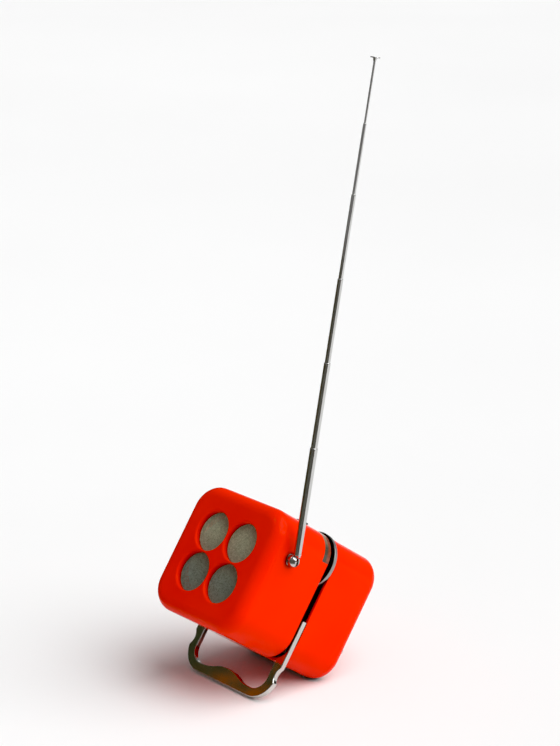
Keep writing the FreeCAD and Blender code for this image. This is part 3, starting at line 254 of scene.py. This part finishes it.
class Look:
    """A procedural material around one Principled shader."""

    def __init__(self, name, **sockets):
        self.material = bpy.data.materials.new(name)
        self.material.use_nodes = True
        self.tree = self.material.node_tree
        self.shader = self.tree.nodes["Principled BSDF"]
        self.place = self.tree.nodes.new("ShaderNodeTexCoord").outputs["Object"]
        self.normal = None
        for socket, value in sockets.items():
            self.shader.inputs[socket.replace("_", " ")].default_value = value

    def node(self, kind, inputs=None, **settings):
        """New node with its settings and with its inputs set or linked."""
        made = self.tree.nodes.new("ShaderNode" + kind)
        for key, value in settings.items():
            setattr(made, key, value)
        for key, value in (inputs or {}).items():
            if isinstance(value, bpy.types.NodeSocket):
                self.tree.links.new(value, made.inputs[key])
            else:
                made.inputs[key].default_value = value
        return made

    def noise(self, scale, detail=4.0, rough=0.5, place=None):
        """Noise in metres: scale is in features per metre."""
        inputs = {"Vector": place or self.place, "Scale": scale, "Detail": detail, "Roughness": rough}
        return self.node("TexNoise", inputs).outputs["Fac"]

    def stretched(self, x, y, z):
        """Object place scaled apart, for grain in one direction."""
        return self.node("Mapping", {"Vector": self.place, "Scale": (x, y, z)}).outputs["Vector"]

    def ramp(self, factor, *stops):
        """Colour ramp with (position, colour) stops."""
        made = self.node("ValToRGB", {"Fac": factor})
        ramp = made.color_ramp
        for index, (position, colour) in enumerate(stops):
            stop = ramp.elements[index] if index < 2 else ramp.elements.new(position)
            stop.position = position
            stop.color = opaque(colour)
        return made.outputs["Color"]

    def span(self, factor, low, high, start=0.0, end=1.0):
        """Number between low and high as a factor goes from start to end."""
        inputs = {"Value": factor, "From Min": start, "From Max": end, "To Min": low, "To Max": high}
        return self.node("MapRange", inputs).outputs["Result"]

    def along(self, axis):
        """Distance along an axis, in metres."""
        inputs = {0: self.place, 1: tuple(axis)}
        return self.node("VectorMath", inputs, operation="DOT_PRODUCT").outputs["Value"]

    def mixed(self, factor, first, second):
        """Colour between two others."""
        inputs = {0: factor, 6: first, 7: second}
        return self.node("Mix", inputs, data_type="RGBA").outputs[2]

    def colour(self, source):
        """Link the base colour."""
        self.tree.links.new(source, self.shader.inputs["Base Color"])

    def glow(self, source):
        """Link the colour of the shader's own light."""
        self.tree.links.new(source, self.shader.inputs["Emission Color"])

    def roughness(self, source):
        """Link the roughness."""
        self.tree.links.new(source, self.shader.inputs["Roughness"])

    def bump(self, height, strength, depth):
        """Add a bump layer over the ones before it. Depth is in metres."""
        inputs = {"Height": height, "Strength": strength, "Distance": depth}
        if self.normal is not None:
            inputs["Normal"] = self.normal
        self.normal = self.node("Bump", inputs).outputs["Normal"]
        self.tree.links.new(self.normal, self.shader.inputs["Normal"])


def moulded_gloss(name, light, deep):
    """Glossy moulded plastic: faint orange peel, hazy patches, hairline scratches, and painted shade that
    darkens its crevices.
    """
    look = Look(name, Specular_IOR_Level=0.05)
    mottled = look.ramp(look.noise(scale=9.0, detail=2.0), (0.35, deep), (0.65, light))
    # Painted shade: ambient occlusion darkens the case red in crevices, grooves and well walls.
    openness = look.node("AmbientOcclusion", {"Distance": PAINTED_SHADE_REACH}, samples=6).outputs["AO"]
    painted_shade = look.span(openness, low=1.0, high=0.0, start=0.42, end=0.90)
    look.colour(look.mixed(painted_shade, mottled, opaque(PAINTED_SHADE_RED)))
    haze = look.noise(scale=28.0, detail=5.0)
    look.roughness(look.span(haze, low=0.06, high=0.11, start=0.35, end=0.65))
    hairline = look.noise(scale=900.0, detail=2.0, place=look.stretched(1.0, 0.05, 0.25))
    look.bump(look.noise(scale=420.0, detail=1.0), strength=0.05, depth=0.02 * MM)
    look.bump(hairline, strength=0.05, depth=0.01 * MM)
    return look.material


def moulded_matt(name, light, dark, roughness=0.5):
    """Matt moulded plastic with a fine spark-eroded grain."""
    look = Look(name, Specular_IOR_Level=0.4)
    look.colour(look.ramp(look.noise(scale=60.0, detail=3.0), (0.3, dark), (0.7, light)))
    look.roughness(look.span(look.noise(scale=40.0), low=roughness - 0.08, high=roughness + 0.08))
    look.bump(look.noise(scale=2600.0, detail=2.0), strength=0.25, depth=0.03 * MM)
    return look.material


def plated(name, light, dark, roughness):
    """Polished plating: tiny pits, faint clouding and fine wiping scratches."""
    look = Look(name, Metallic=1.0)
    look.colour(look.ramp(look.noise(scale=35.0, detail=4.0), (0.35, dark), (0.7, light)))
    wiped = look.noise(scale=1500.0, detail=2.0, place=look.stretched(1.0, 0.06, 0.06))
    look.roughness(look.span(wiped, low=roughness * 0.6, high=roughness * 1.6, start=0.3, end=0.7))
    look.bump(wiped, strength=0.10, depth=0.01 * MM)
    look.bump(look.noise(scale=2200.0, detail=1.0), strength=0.04, depth=0.01 * MM)
    return look.material


def satin(name, light, dark, roughness):
    """Satin metal with a fine grain."""
    look = Look(name, Metallic=1.0)
    streak = look.noise(scale=2600.0, detail=3.0, place=look.stretched(1.0, 1.0, 0.05))
    look.colour(look.ramp(streak, (0.3, dark), (0.7, light)))
    cloud = look.noise(scale=160.0, detail=4.0)
    look.roughness(look.span(cloud, low=roughness - 0.07, high=roughness + 0.09))
    look.bump(streak, strength=0.22, depth=0.02 * MM)
    return look.material


def wheel_rim():
    """Satin metal rim whose front flank, beside the dial window, is painted near-black as painted shade."""
    look = Look("wheel_satin", Metallic=1.0)
    front, rear = spread("tuning_wheel", BACK)
    flank = front + (rear - front) * WHEEL_SHADE_SHARE
    # Painted shade: the colour goes to near-black over the front flank, where the rim sits in shade beside
    # the window.
    black = look.span(look.along(BACK), low=1.0, high=0.0, start=flank - WHEEL_LINE, end=flank + WHEEL_LINE)
    streak = look.noise(scale=2600.0, detail=3.0, place=look.stretched(1.0, 1.0, 0.05))
    metal = look.ramp(streak, (0.3, (0.29, 0.29, 0.285)), (0.7, (0.41, 0.41, 0.40)))
    look.colour(look.mixed(black, metal, opaque(WHEEL_PAINTED_SHADE)))
    look.roughness(look.span(look.noise(scale=160.0, detail=4.0), low=0.28, high=0.42))
    look.bump(streak, strength=0.22, depth=0.02 * MM)
    return look.material


def rough_cast(name, light, dark):
    """Sintered or cast part: coarse dull grain."""
    look = Look(name, Metallic=0.35)
    look.colour(look.ramp(look.noise(scale=500.0, detail=6.0), (0.35, dark), (0.65, light)))
    look.roughness(look.span(look.noise(scale=300.0), low=0.5, high=0.75))
    look.bump(look.noise(scale=1400.0, detail=5.0), strength=0.4, depth=0.05 * MM)
    return look.material


def pressed_paper():
    """Loudspeaker cone paper: fibres over a mottled pulp."""
    look = Look("cone_paper", Specular_IOR_Level=0.2)
    fibre = look.noise(scale=1400.0, detail=6.0, rough=0.7, place=look.stretched(1.0, 0.3, 0.6))
    look.colour(look.ramp(fibre, (0.3, (0.025, 0.022, 0.020)), (0.7, (0.085, 0.075, 0.065))))
    look.roughness(look.span(fibre, low=0.8, high=0.95))
    look.bump(fibre, strength=0.6, depth=0.06 * MM)
    return look.material


def window_acrylic():
    """Smoked acrylic, paler towards the top, with a reddish rear edge, dirt and light scratches."""
    look = Look("window_acrylic", Transmission_Weight=0.25, IOR=1.49, Specular_IOR_Level=0.5)
    foot, top = spread("dial_window", UP)
    front, rear = spread("dial_window", BACK)
    smoke = look.ramp(look.span(look.along(UP), low=0.0, high=1.0, start=foot, end=top),
                      (0.0, (0.060, 0.050, 0.032)), (1.0, (0.46, 0.30, 0.18)), (0.55, (0.075, 0.066, 0.042)))
    dirt = look.noise(scale=260.0, detail=4.0)
    edge_start = front + (rear - front) * WINDOW_EDGE_START
    edge_end = front + (rear - front) * WINDOW_EDGE_END
    edge = look.span(look.along(BACK), low=0.0, high=1.0, start=edge_start, end=edge_end)
    reddish = look.ramp(dirt, (0.35, (0.20, 0.035, 0.012)), (0.65, (0.34, 0.060, 0.022)))
    look.colour(look.mixed(edge, smoke, reddish))
    look.roughness(look.span(dirt, low=0.10, high=0.24, start=0.4, end=0.7))
    scratch = look.noise(scale=1500.0, detail=2.0, place=look.stretched(0.1, 1.0, 0.1))
    look.bump(scratch, strength=0.06, depth=0.01 * MM)
    return look.material


def printed_card():
    """Off-white printed dial strip."""
    look = Look("scale_card", Specular_IOR_Level=0.3)
    mottle = look.noise(scale=240.0, detail=5.0)
    look.colour(look.ramp(mottle, (0.3, (0.36, 0.30, 0.26)), (0.7, (0.48, 0.42, 0.36))))
    look.roughness(look.span(look.noise(scale=90.0), low=0.5, high=0.65))
    look.bump(look.noise(scale=2600.0, detail=3.0), strength=0.15, depth=0.02 * MM)
    return look.material


def board_resin():
    """Resin-bonded paper board with a faint weave."""
    look = Look("board_resin", Specular_IOR_Level=0.45)
    weave = look.noise(scale=1600.0, detail=3.0, place=look.stretched(0.1, 1.0, 1.0))
    look.colour(look.ramp(weave, (0.3, (0.16, 0.075, 0.022)), (0.7, (0.27, 0.14, 0.045))))
    look.roughness(look.span(look.noise(scale=80.0), low=0.32, high=0.5))
    look.bump(weave, strength=0.2, depth=0.02 * MM)
    return look.material


def wound_copper():
    """Enamelled copper wire, its turns as fine ridges across X."""
    look = Look("wound_copper", Metallic=1.0)
    turns = look.node("TexWave", {"Vector": look.place, "Scale": 700.0, "Distortion": 0.4},
                      wave_type="BANDS", bands_direction="X").outputs["Fac"]
    look.colour(look.ramp(turns, (0.2, (0.20, 0.06, 0.02)), (0.8, (0.72, 0.27, 0.09))))
    look.roughness(look.span(turns, low=0.25, high=0.4))
    look.bump(turns, strength=0.6, depth=0.1 * MM)
    return look.material


def cloth_metal():
    """Woven wire of the grilles: dull nickel with a greenish bloom, darker in the lower pair."""
    look = Look("cloth_metal", Metallic=0.45)
    bloom = look.noise(scale=420.0, detail=6.0, rough=0.65)
    lower = look.ramp(bloom, (0.30, (0.18, 0.22, 0.165)), (0.75, (0.42, 0.49, 0.42)))
    upper = look.ramp(bloom, (0.30, (0.335, 0.36, 0.235)), (0.75, (0.75, 0.77, 0.57)))
    low = middle("grille_mesh_lower_left").dot(UP)
    high = middle("grille_mesh_upper_left").dot(UP)
    level = look.span(look.along(UP), low=0.0, high=1.0, start=low, end=high)
    look.colour(look.mixed(level, lower, upper))
    look.roughness(look.span(look.noise(scale=900.0, detail=3.0), low=0.36, high=0.58))
    look.bump(look.noise(scale=5200.0, detail=2.0), strength=0.2, depth=0.01 * MM)
    return look.material


def card_felt():
    """Dark card, greyer to the right, with brown patches in a strip on the left."""
    look = Look("card_felt", Specular_IOR_Level=0.0, Roughness=1.0)
    across = look.along(RIGHT)
    whole = look.span(across, low=0.0, high=1.0, start=-CARD_RADIUS, end=CARD_RADIUS)
    plain = look.ramp(whole, (0.25, CARD_DARK), (0.80, CARD_GREY))
    blotch = look.noise(scale=44.0, detail=6.0, rough=0.65)
    patches = look.span(blotch, low=0.0, high=1.0, start=0.50, end=0.57)
    strip = look.span(across, low=0.0, high=1.0, start=PATCH_LEFT, end=PATCH_RIGHT)
    side = look.ramp(strip, (0.0, BLACK), (0.25, WHITE), (0.70, WHITE), (1.0, BLACK))
    where = look.node("Math", {0: patches, 1: side}, operation="MULTIPLY").outputs["Value"]
    look.colour(look.mixed(where, plain, opaque(CARD_BROWN)))
    return look.material


def backdrop_paper():
    """Evenly glowing pale paper."""
    look = Look("backdrop_paper", Specular_IOR_Level=0.0, Roughness=1.0, Emission_Strength=1.0,
                Base_Color=opaque(BLACK))
    look.glow(look.ramp(look.noise(scale=0.5, detail=2.0), (0.3, BACKDROP_GLOW_DEEP), (0.7, BACKDROP_GLOW)))
    return look.material


def floor_paper():
    """Pale matt paper."""
    look = Look("floor_paper", Specular_IOR_Level=0.1)
    look.colour(look.ramp(look.noise(scale=0.7, detail=2.0), (0.3, FLOOR_PALE_DEEP), (0.7, FLOOR_PALE)))
    look.roughness(look.span(look.noise(scale=12.0), low=0.6, high=0.75))
    return look.material


# ------------------------------------------------------------------ mesh pieces

def skin(built, rings, closed):
    """Faces between rings of vertices, and from the last ring to the first if closed."""
    following = rings[1:] + rings[:1] if closed else rings[1:]
    for ring, after in zip(rings, following):
        for side in range(len(ring)):
            turned = (side + 1) % len(ring)
            built.faces.new((ring[side], ring[turned], after[turned], after[side]))


def lathe(points, sides):
    """Builder of a closed ring of revolution about Z from (radius, z) points."""
    def build(built):
        rings = []
        for radius, z in points:
            ring = []
            for side in range(sides):
                angle = 2 * math.pi * side / sides
                ring.append(built.verts.new((radius * math.cos(angle), radius * math.sin(angle), z)))
            rings.append(ring)
        skin(built, rings, closed=True)
    return build


def toothed(points, teeth, depth):
    """Builder of a wheel about Y from (radius, y, share of the tooth) points, with cut teeth on its rim."""
    def build(built):
        rings = []
        for radius, y, share in points:
            ring = []
            for side in range(2 * teeth):
                angle = math.pi * side / teeth
                reach = radius - share * depth * (side % 2)
                ring.append(built.verts.new((reach * math.cos(angle), y, reach * math.sin(angle))))
            rings.append(ring)
        skin(built, rings, closed=True)
    return build


def woven_disc(radius):
    """Builder of plain-weave wire cloth cut to a disc, its plane along X and Z."""
    def wire(built, offset, along_x, phase):
        reach = math.sqrt(max(radius ** 2 - offset ** 2, 0.0))
        count = max(int(2 * reach / CLOTH_PITCH * CLOTH_STEPS), 2)
        rings = []
        for step in range(count + 1):
            t = -reach + 2 * reach * step / count
            lift = CLOTH_WAVE * math.cos(math.pi * t / CLOTH_PITCH) * phase
            ring = []
            for side in range(CLOTH_SIDES):
                angle = 2 * math.pi * side / CLOTH_SIDES
                across = offset + CLOTH_WIRE_R * math.cos(angle)
                depth = lift + CLOTH_WIRE_R * math.sin(angle)
                spot = (t, depth, across) if along_x else (across, depth, t)
                ring.append(built.verts.new(spot))
            rings.append(ring)
        skin(built, rings, closed=False)
        built.faces.new(rings[0])
        built.faces.new(rings[-1])

    def build(built):
        lines = int(radius / CLOTH_PITCH)
        for line in range(-lines, lines + 1):
            offset = line * CLOTH_PITCH
            phase = 1 if line % 2 else -1
            wire(built, offset, True, phase)
            wire(built, offset, False, -phase)
    return build


# ----------------------------------------------------------------- the pieces

def make_materials():
    """Every material of the object by the name used below."""
    return {
        "red": moulded_gloss("case_red", light=CASE_RED, deep=CASE_RED_DEEP),
        "black": moulded_matt("frame_black", (0.006, 0.006, 0.006), (0.003, 0.003, 0.003), roughness=0.6),
        "blued": satin("blued_steel", (0.020, 0.020, 0.022), (0.010, 0.010, 0.011), roughness=0.45),
        "inner": moulded_matt("inner_black", (0.030, 0.030, 0.032), (0.015, 0.015, 0.016), roughness=0.55),
        "button": moulded_matt("button_black", (0.035, 0.035, 0.036), (0.018, 0.018, 0.019), roughness=0.35),
        "handle": plated("handle_polish", (0.66, 0.66, 0.63), (0.56, 0.56, 0.53), roughness=0.07),
        "chrome": plated("antenna_chrome", (0.62, 0.62, 0.61), (0.54, 0.54, 0.53), roughness=0.09),
        "wheel": wheel_rim(),
        "steel": satin("screw_steel", (0.58, 0.57, 0.55), (0.44, 0.43, 0.41), roughness=0.30),
        "can": satin("drawn_can", (0.76, 0.76, 0.74), (0.62, 0.62, 0.60), roughness=0.38),
        "basket": moulded_matt("basket_paint", (0.20, 0.21, 0.22), (0.14, 0.15, 0.16), roughness=0.42),
        "jacket": satin("cell_jacket", (0.16, 0.20, 0.38), (0.10, 0.13, 0.28), roughness=0.42),
        "sleeve": moulded_matt("component_sleeve", (0.10, 0.16, 0.30), (0.06, 0.10, 0.20), roughness=0.38),
        "magnet": rough_cast("magnet_dark", (0.10, 0.10, 0.11), (0.05, 0.05, 0.055)),
        "ferrite": rough_cast("ferrite_dark", (0.07, 0.07, 0.07), (0.03, 0.03, 0.03)),
        "paper": pressed_paper(),
        "window": window_acrylic(),
        "card": printed_card(),
        "board": board_resin(),
        "copper": wound_copper(),
        "cloth": cloth_metal(),
        "ink": moulded_matt("dial_ink", (0.020, 0.018, 0.017), (0.010, 0.009, 0.009), roughness=0.6),
    }


def dress_nodes(look):
    """Materials of the CAD nodes. Those with a finer piece made below keep theirs hidden."""
    dress(look["red"], "front_shell", "rear_shell", "battery_door")
    dress(look["black"], "middle_frame")
    dress(look["inner"], "speaker_baffle", "dial_drum", "switch_block", "battery_tray", "ferrite_holders",
          "volume_control")
    dress(look["button"], "push_button_left", "push_button_middle", "push_button_right")
    dress(look["handle"], "handle")
    dress(look["chrome"], "antenna_swivel", "antenna_tang", "antenna_pivot_screw", "antenna_nut",
          "antenna_cap", "earphone_socket", *MAST_NODES)
    dress(look["wheel"], "tuning_wheel", "volume_wheel")
    dress(look["steel"], "speaker_screws", "baffle_screws", "board_screws", "rear_case_screws",
          "front_case_screws", "handle_springs", "tuning_spindle", "volume_spindle", "battery_contacts",
          "antenna_bush")
    dress(look["blued"], "handle_edge_screws")
    dress(look["basket"], "speaker_basket")
    dress(look["paper"], "speaker_cone", "speaker_dust_cap")
    dress(look["magnet"], "speaker_magnet")
    dress(look["ferrite"], "ferrite_rod")
    dress(look["copper"], "ferrite_coil")
    dress(look["board"], "circuit_board")
    dress(look["can"], "coil_cans", "tuning_capacitor")
    dress(look["sleeve"], "smoothing_capacitors", "transistors")
    dress(look["jacket"], "battery_cells_lower", "battery_cells_middle", "battery_cells_upper")
    dress(look["window"], "dial_window")
    dress(look["card"], "dial_scale")
    dress(look["cloth"], *GRILLES)


def make_grilles(look):
    """Woven wire cloth in place of the four plain discs."""
    for node in GRILLES:
        radius = half_width(node) - 2 * CLOTH_WIRE_R
        piece(node.replace("mesh", "cloth"), woven_disc(radius), on_face(node), "case",
              look["cloth"], replaces=(node,))


def tube_profile(radius, bore, length):
    """Half section of one mast tube: chamfered foot and a rolled-in upper end."""
    points = [(bore, 0.0), (radius - TUBE_CHAMFER, 0.0), (radius, TUBE_CHAMFER)]
    inner = bore + TUBE_CHAMFER
    shoulder = length - TUBE_ROLL
    for step in range(ROLL_STEPS + 1):
        turn = math.pi / 2 * step / ROLL_STEPS
        points.append((inner + (radius - inner) * math.cos(turn), shoulder + TUBE_ROLL * math.sin(turn)))
    points.append((bore, length - TUBE_CHAMFER))
    return points


def make_mast(look):
    """The six telescopic tubes, each turned about the mast's line."""
    side = MAST.cross(RIGHT).normalized()
    radii = [half_width(node) for node in MAST_NODES]
    bores = [radius + TUBE_GAP for radius in radii[1:]] + [radii[-1] * LAST_BORE_SHARE]
    for stage, (node, body) in enumerate(zip(MAST_NODES, MAST_BODIES)):
        foot, top = spread(node, MAST)
        centre = RIGHT * centre_along(node, RIGHT) + side * centre_along(node, side)
        place = basis(RIGHT, side, MAST, centre + MAST * foot)
        profile = tube_profile(radii[stage], bores[stage], top - foot)
        piece("mast_tube_%d" % (stage + 1), lathe(profile, TUBE_SIDES),
              place, body, look["chrome"], replaces=(node,))


def wheel_profile(radius, half):
    """Half section of a thumb wheel: bevelled faces and one turned line near the front edge."""
    line = -half + WHEEL_LINE_AT
    inner = radius - WHEEL_BEVEL * WHEEL_FACE_INSET
    shoulder = radius - WHEEL_BEVEL * WHEEL_SHOULDER_IN
    down = WHEEL_BEVEL * WHEEL_SHOULDER_DOWN
    return [(WHEEL_BORE_R, -half, 0),
            (inner, -half, 0),
            (shoulder, -half + down, 0),
            (radius, -half + WHEEL_BEVEL, 0),
            (radius, line - WHEEL_LINE, 0),
            (radius - WHEEL_LINE, line, 0),
            (radius, line + WHEEL_LINE, 1),
            (radius, half - WHEEL_BEVEL, 1),
            (shoulder, half - down, 0),
            (inner, half, 0),
            (WHEEL_BORE_R, half, 0)]


def make_wheels(look):
    """Thumb wheels with a finely cut rim."""
    for node, body in (("tuning_wheel", "tuning"), ("volume_wheel", "volume")):
        front, rear = spread(node, BACK)
        rim = wheel_profile(half_width(node), (rear - front) / 2)
        piece(node + "_turned", toothed(rim, WHEEL_TEETH, WHEEL_TOOTH), on_face(node), body, look["wheel"],
              replaces=(node,))


def wrap_on_drum(data, radius, degrees):
    """Lay a flat print, X along the strip and Y across it, on the drum at an angle about Y."""
    for vertex in data.vertices:
        along, across, height = vertex.co
        angle = math.radians(degrees) - along / radius
        reach = radius + height
        vertex.co = (reach * math.cos(angle), across, reach * math.sin(angle))


def number_mesh(text, width):
    """Flat mesh of a number, centred on the lower part of a strip of this width, Y up."""
    curve = bpy.data.curves.new("digits", "FONT")
    curve.body = text
    curve.size = width * PRINT_NUMBER_SIZE
    curve.align_x = "CENTER"
    curve.align_y = "CENTER"
    curve.extrude = PRINT_HEIGHT / 2
    holder = placed("digits", curve)
    bpy.context.view_layer.update()
    data = bpy.data.meshes.new_from_object(holder.evaluated_get(bpy.context.evaluated_depsgraph_get()))
    bpy.data.objects.remove(holder)
    for vertex in data.vertices:
        vertex.co.y -= width * PRINT_NUMBER_DROP
    return data


def tick_mesh(long, width):
    """Flat bar on the upper part of a strip of this width, Y up."""
    reach = width * (TICK_LONG if long else TICK_SHORT)
    half = TICK_LONG_HALF_WIDTH if long else TICK_SHORT_HALF_WIDTH
    low = width * TICK_TOP - reach
    corners = [(x, y, z) for z in (-PRINT_HEIGHT / 2, PRINT_HEIGHT / 2)
               for x, y in ((-half, low), (half, low), (half, low + reach), (-half, low + reach))]
    data = bpy.data.meshes.new("tick")
    data.from_pydata(corners, [], TICK_FACES)
    return data


def dial_marks(radius, width):
    """Builder of the ticks and plain numbers on a drum of this radius and width."""
    def print_on(built, data, step):
        wrap_on_drum(data, radius, PRINT_FIRST_DEG + step * PRINT_STEP_DEG)
        built.from_mesh(data)
        bpy.data.meshes.remove(data)

    def build(built):
        for index, text in enumerate(PRINT_NUMBERS):
            print_on(built, number_mesh(text, width), index * PRINT_NUMBER_EVERY)
        for tick in range(len(PRINT_NUMBERS) * PRINT_NUMBER_EVERY):
            print_on(built, tick_mesh(tick % PRINT_NUMBER_EVERY == 0, width), tick)
    return build


def make_dial_print(look):
    """Ticks and plain numbers round the dial strip, as a thin print."""
    front, rear = spread("dial_scale", BACK)
    marks = dial_marks(half_width("dial_scale") + PRINT_HEIGHT / 2, rear - front)
    piece("dial_print", marks, on_face("dial_scale"), "tuning", look["ink"], smooth=False)


# ------------------------------------------------------------------- the stage

def aimed(name, data, direction, distance, target):
    """Lamp that looks at a target from a direction."""
    made = placed(name, data)
    away = Vector(direction).normalized()
    made.location = target + away * distance
    made.rotation_mode = "QUATERNION"
    made.rotation_quaternion = (-away).to_track_quat("-Z", "Y")
    return made


def sheet(name, corners, faces, material, hidden_from=()):
    """Thin surface of the stage, left out of the kinds of ray named."""
    data = bpy.data.meshes.new(name)
    data.from_pydata(corners, [], faces)
    data.materials.append(material)
    made = placed(name, data)
    for ray in hidden_from:
        setattr(made, "visible_" + ray, False)
    return made


def dark_card():
    """Curved dark card on the camera's side. Only reflections see it, as a studio's black flags."""
    foot = CARD_FOOT / CARD_RADIUS
    corners = []
    faces = []
    for step in range(CARD_STEPS + 1):
        angle = math.radians(CARD_START + (CARD_END - CARD_START) * step / CARD_STEPS)
        x = CARD_RADIUS * math.sin(angle)
        y = -CARD_RADIUS * math.cos(angle)
        corners += [(x * foot, y * foot, CARD_LOW), (x, y, CARD_LOW), (x, y, CARD_TOP)]
        if step:
            last = 3 * step
            faces.append((last - 3, last, last + 1, last - 2))
            faces.append((last - 2, last + 1, last + 2, last - 1))
    card = sheet("dark_card", corners, faces, card_felt(),
                 hidden_from=("camera", "diffuse", "shadow", "transmission"))


def backdrop():
    """Pale round wall behind the floor. Only the camera sees it, so it lights nothing."""
    corners = []
    faces = []
    for step in range(BACKDROP_STEPS):
        angle = math.tau * step / BACKDROP_STEPS
        x = BACKDROP_RADIUS * math.sin(angle)
        y = BACKDROP_RADIUS * math.cos(angle)
        corners += [(x, y, 0.0), (x, y, BACKDROP_TOP)]
        here = 2 * step
        after = 2 * ((step + 1) % BACKDROP_STEPS)
        faces.append((here, after, after + 1, here + 1))
    wall = sheet("backdrop", corners, faces, backdrop_paper(),
                 hidden_from=("diffuse", "glossy", "shadow", "transmission"))


def make_floor():
    """Wide pale floor at the object's feet."""
    reach = FLOOR_REACH
    corners = [(-reach, -reach, 0), (reach, -reach, 0), (reach, reach, 0), (-reach, reach, 0)]
    floor = sheet("studio_floor", corners, [(0, 1, 2, 3)], floor_paper())


def dim_surround():
    """Weak even light from all round."""
    world = bpy.data.worlds.new("studio")
    bpy.context.scene.world = world
    world.use_nodes = True
    background = world.node_tree.nodes["Background"]
    background.inputs["Color"].default_value = opaque(WHITE)
    background.inputs["Strength"].default_value = SURROUND


def overhead():
    """Very wide sun, as a studio's soft overhead light."""
    data = bpy.data.lights.new("overhead", "SUN")
    data.energy = SUN_STRENGTH
    data.angle = math.radians(SUN_SPREAD)
    aimed("overhead", data, SUN_FROM, SUN_DISTANCE, AIM)


def top_box():
    """Small lamp that only shows in glossy reflections, as a highlight."""
    data = bpy.data.lights.new("top_box", "AREA")
    data.shape = "RECTANGLE"
    data.size, data.size_y = TOP_SIZE
    data.energy = TOP_POWER
    box = aimed("top_box", data, TOP_FROM, TOP_DISTANCE, middle("front_shell"))
    box.visible_diffuse = False


def make_camera():
    """Camera at the viewing angle, looking at AIM."""
    azimuth = math.radians(CAMERA_AZIMUTH)
    elevation = math.radians(CAMERA_ELEVATION)
    back = Vector((math.sin(azimuth) * math.cos(elevation), -math.cos(azimuth) * math.cos(elevation),
                   math.sin(elevation)))
    data = bpy.data.cameras.new("camera")
    data.lens = LENS
    data.sensor_width = SENSOR
    data.clip_end = CLIP_END
    camera = placed("camera", data)
    camera.location = AIM + back * CAMERA_DISTANCE
    camera.rotation_mode = "QUATERNION"
    level = (-back).to_track_quat("-Z", "Y")
    camera.rotation_quaternion = level @ Matrix.Rotation(math.radians(CAMERA_ROLL), 3, "Z").to_quaternion()
    bpy.context.scene.camera = camera


def set_view():
    """Plain view transform with a photographic black level in each channel."""
    view = bpy.context.scene.view_settings
    view.view_transform = "Standard"
    view.use_curve_mapping = True
    view.curve_mapping.black_level = BLACK_LEVEL
    view.curve_mapping.update()


make_camera()
set_view()
looks = make_materials()
dress_nodes(looks)
make_grilles(looks)
make_mast(looks)
make_wheels(looks)
make_dial_print(looks)
make_floor()
dim_surround()
overhead()
backdrop()
top_box()
dark_card()
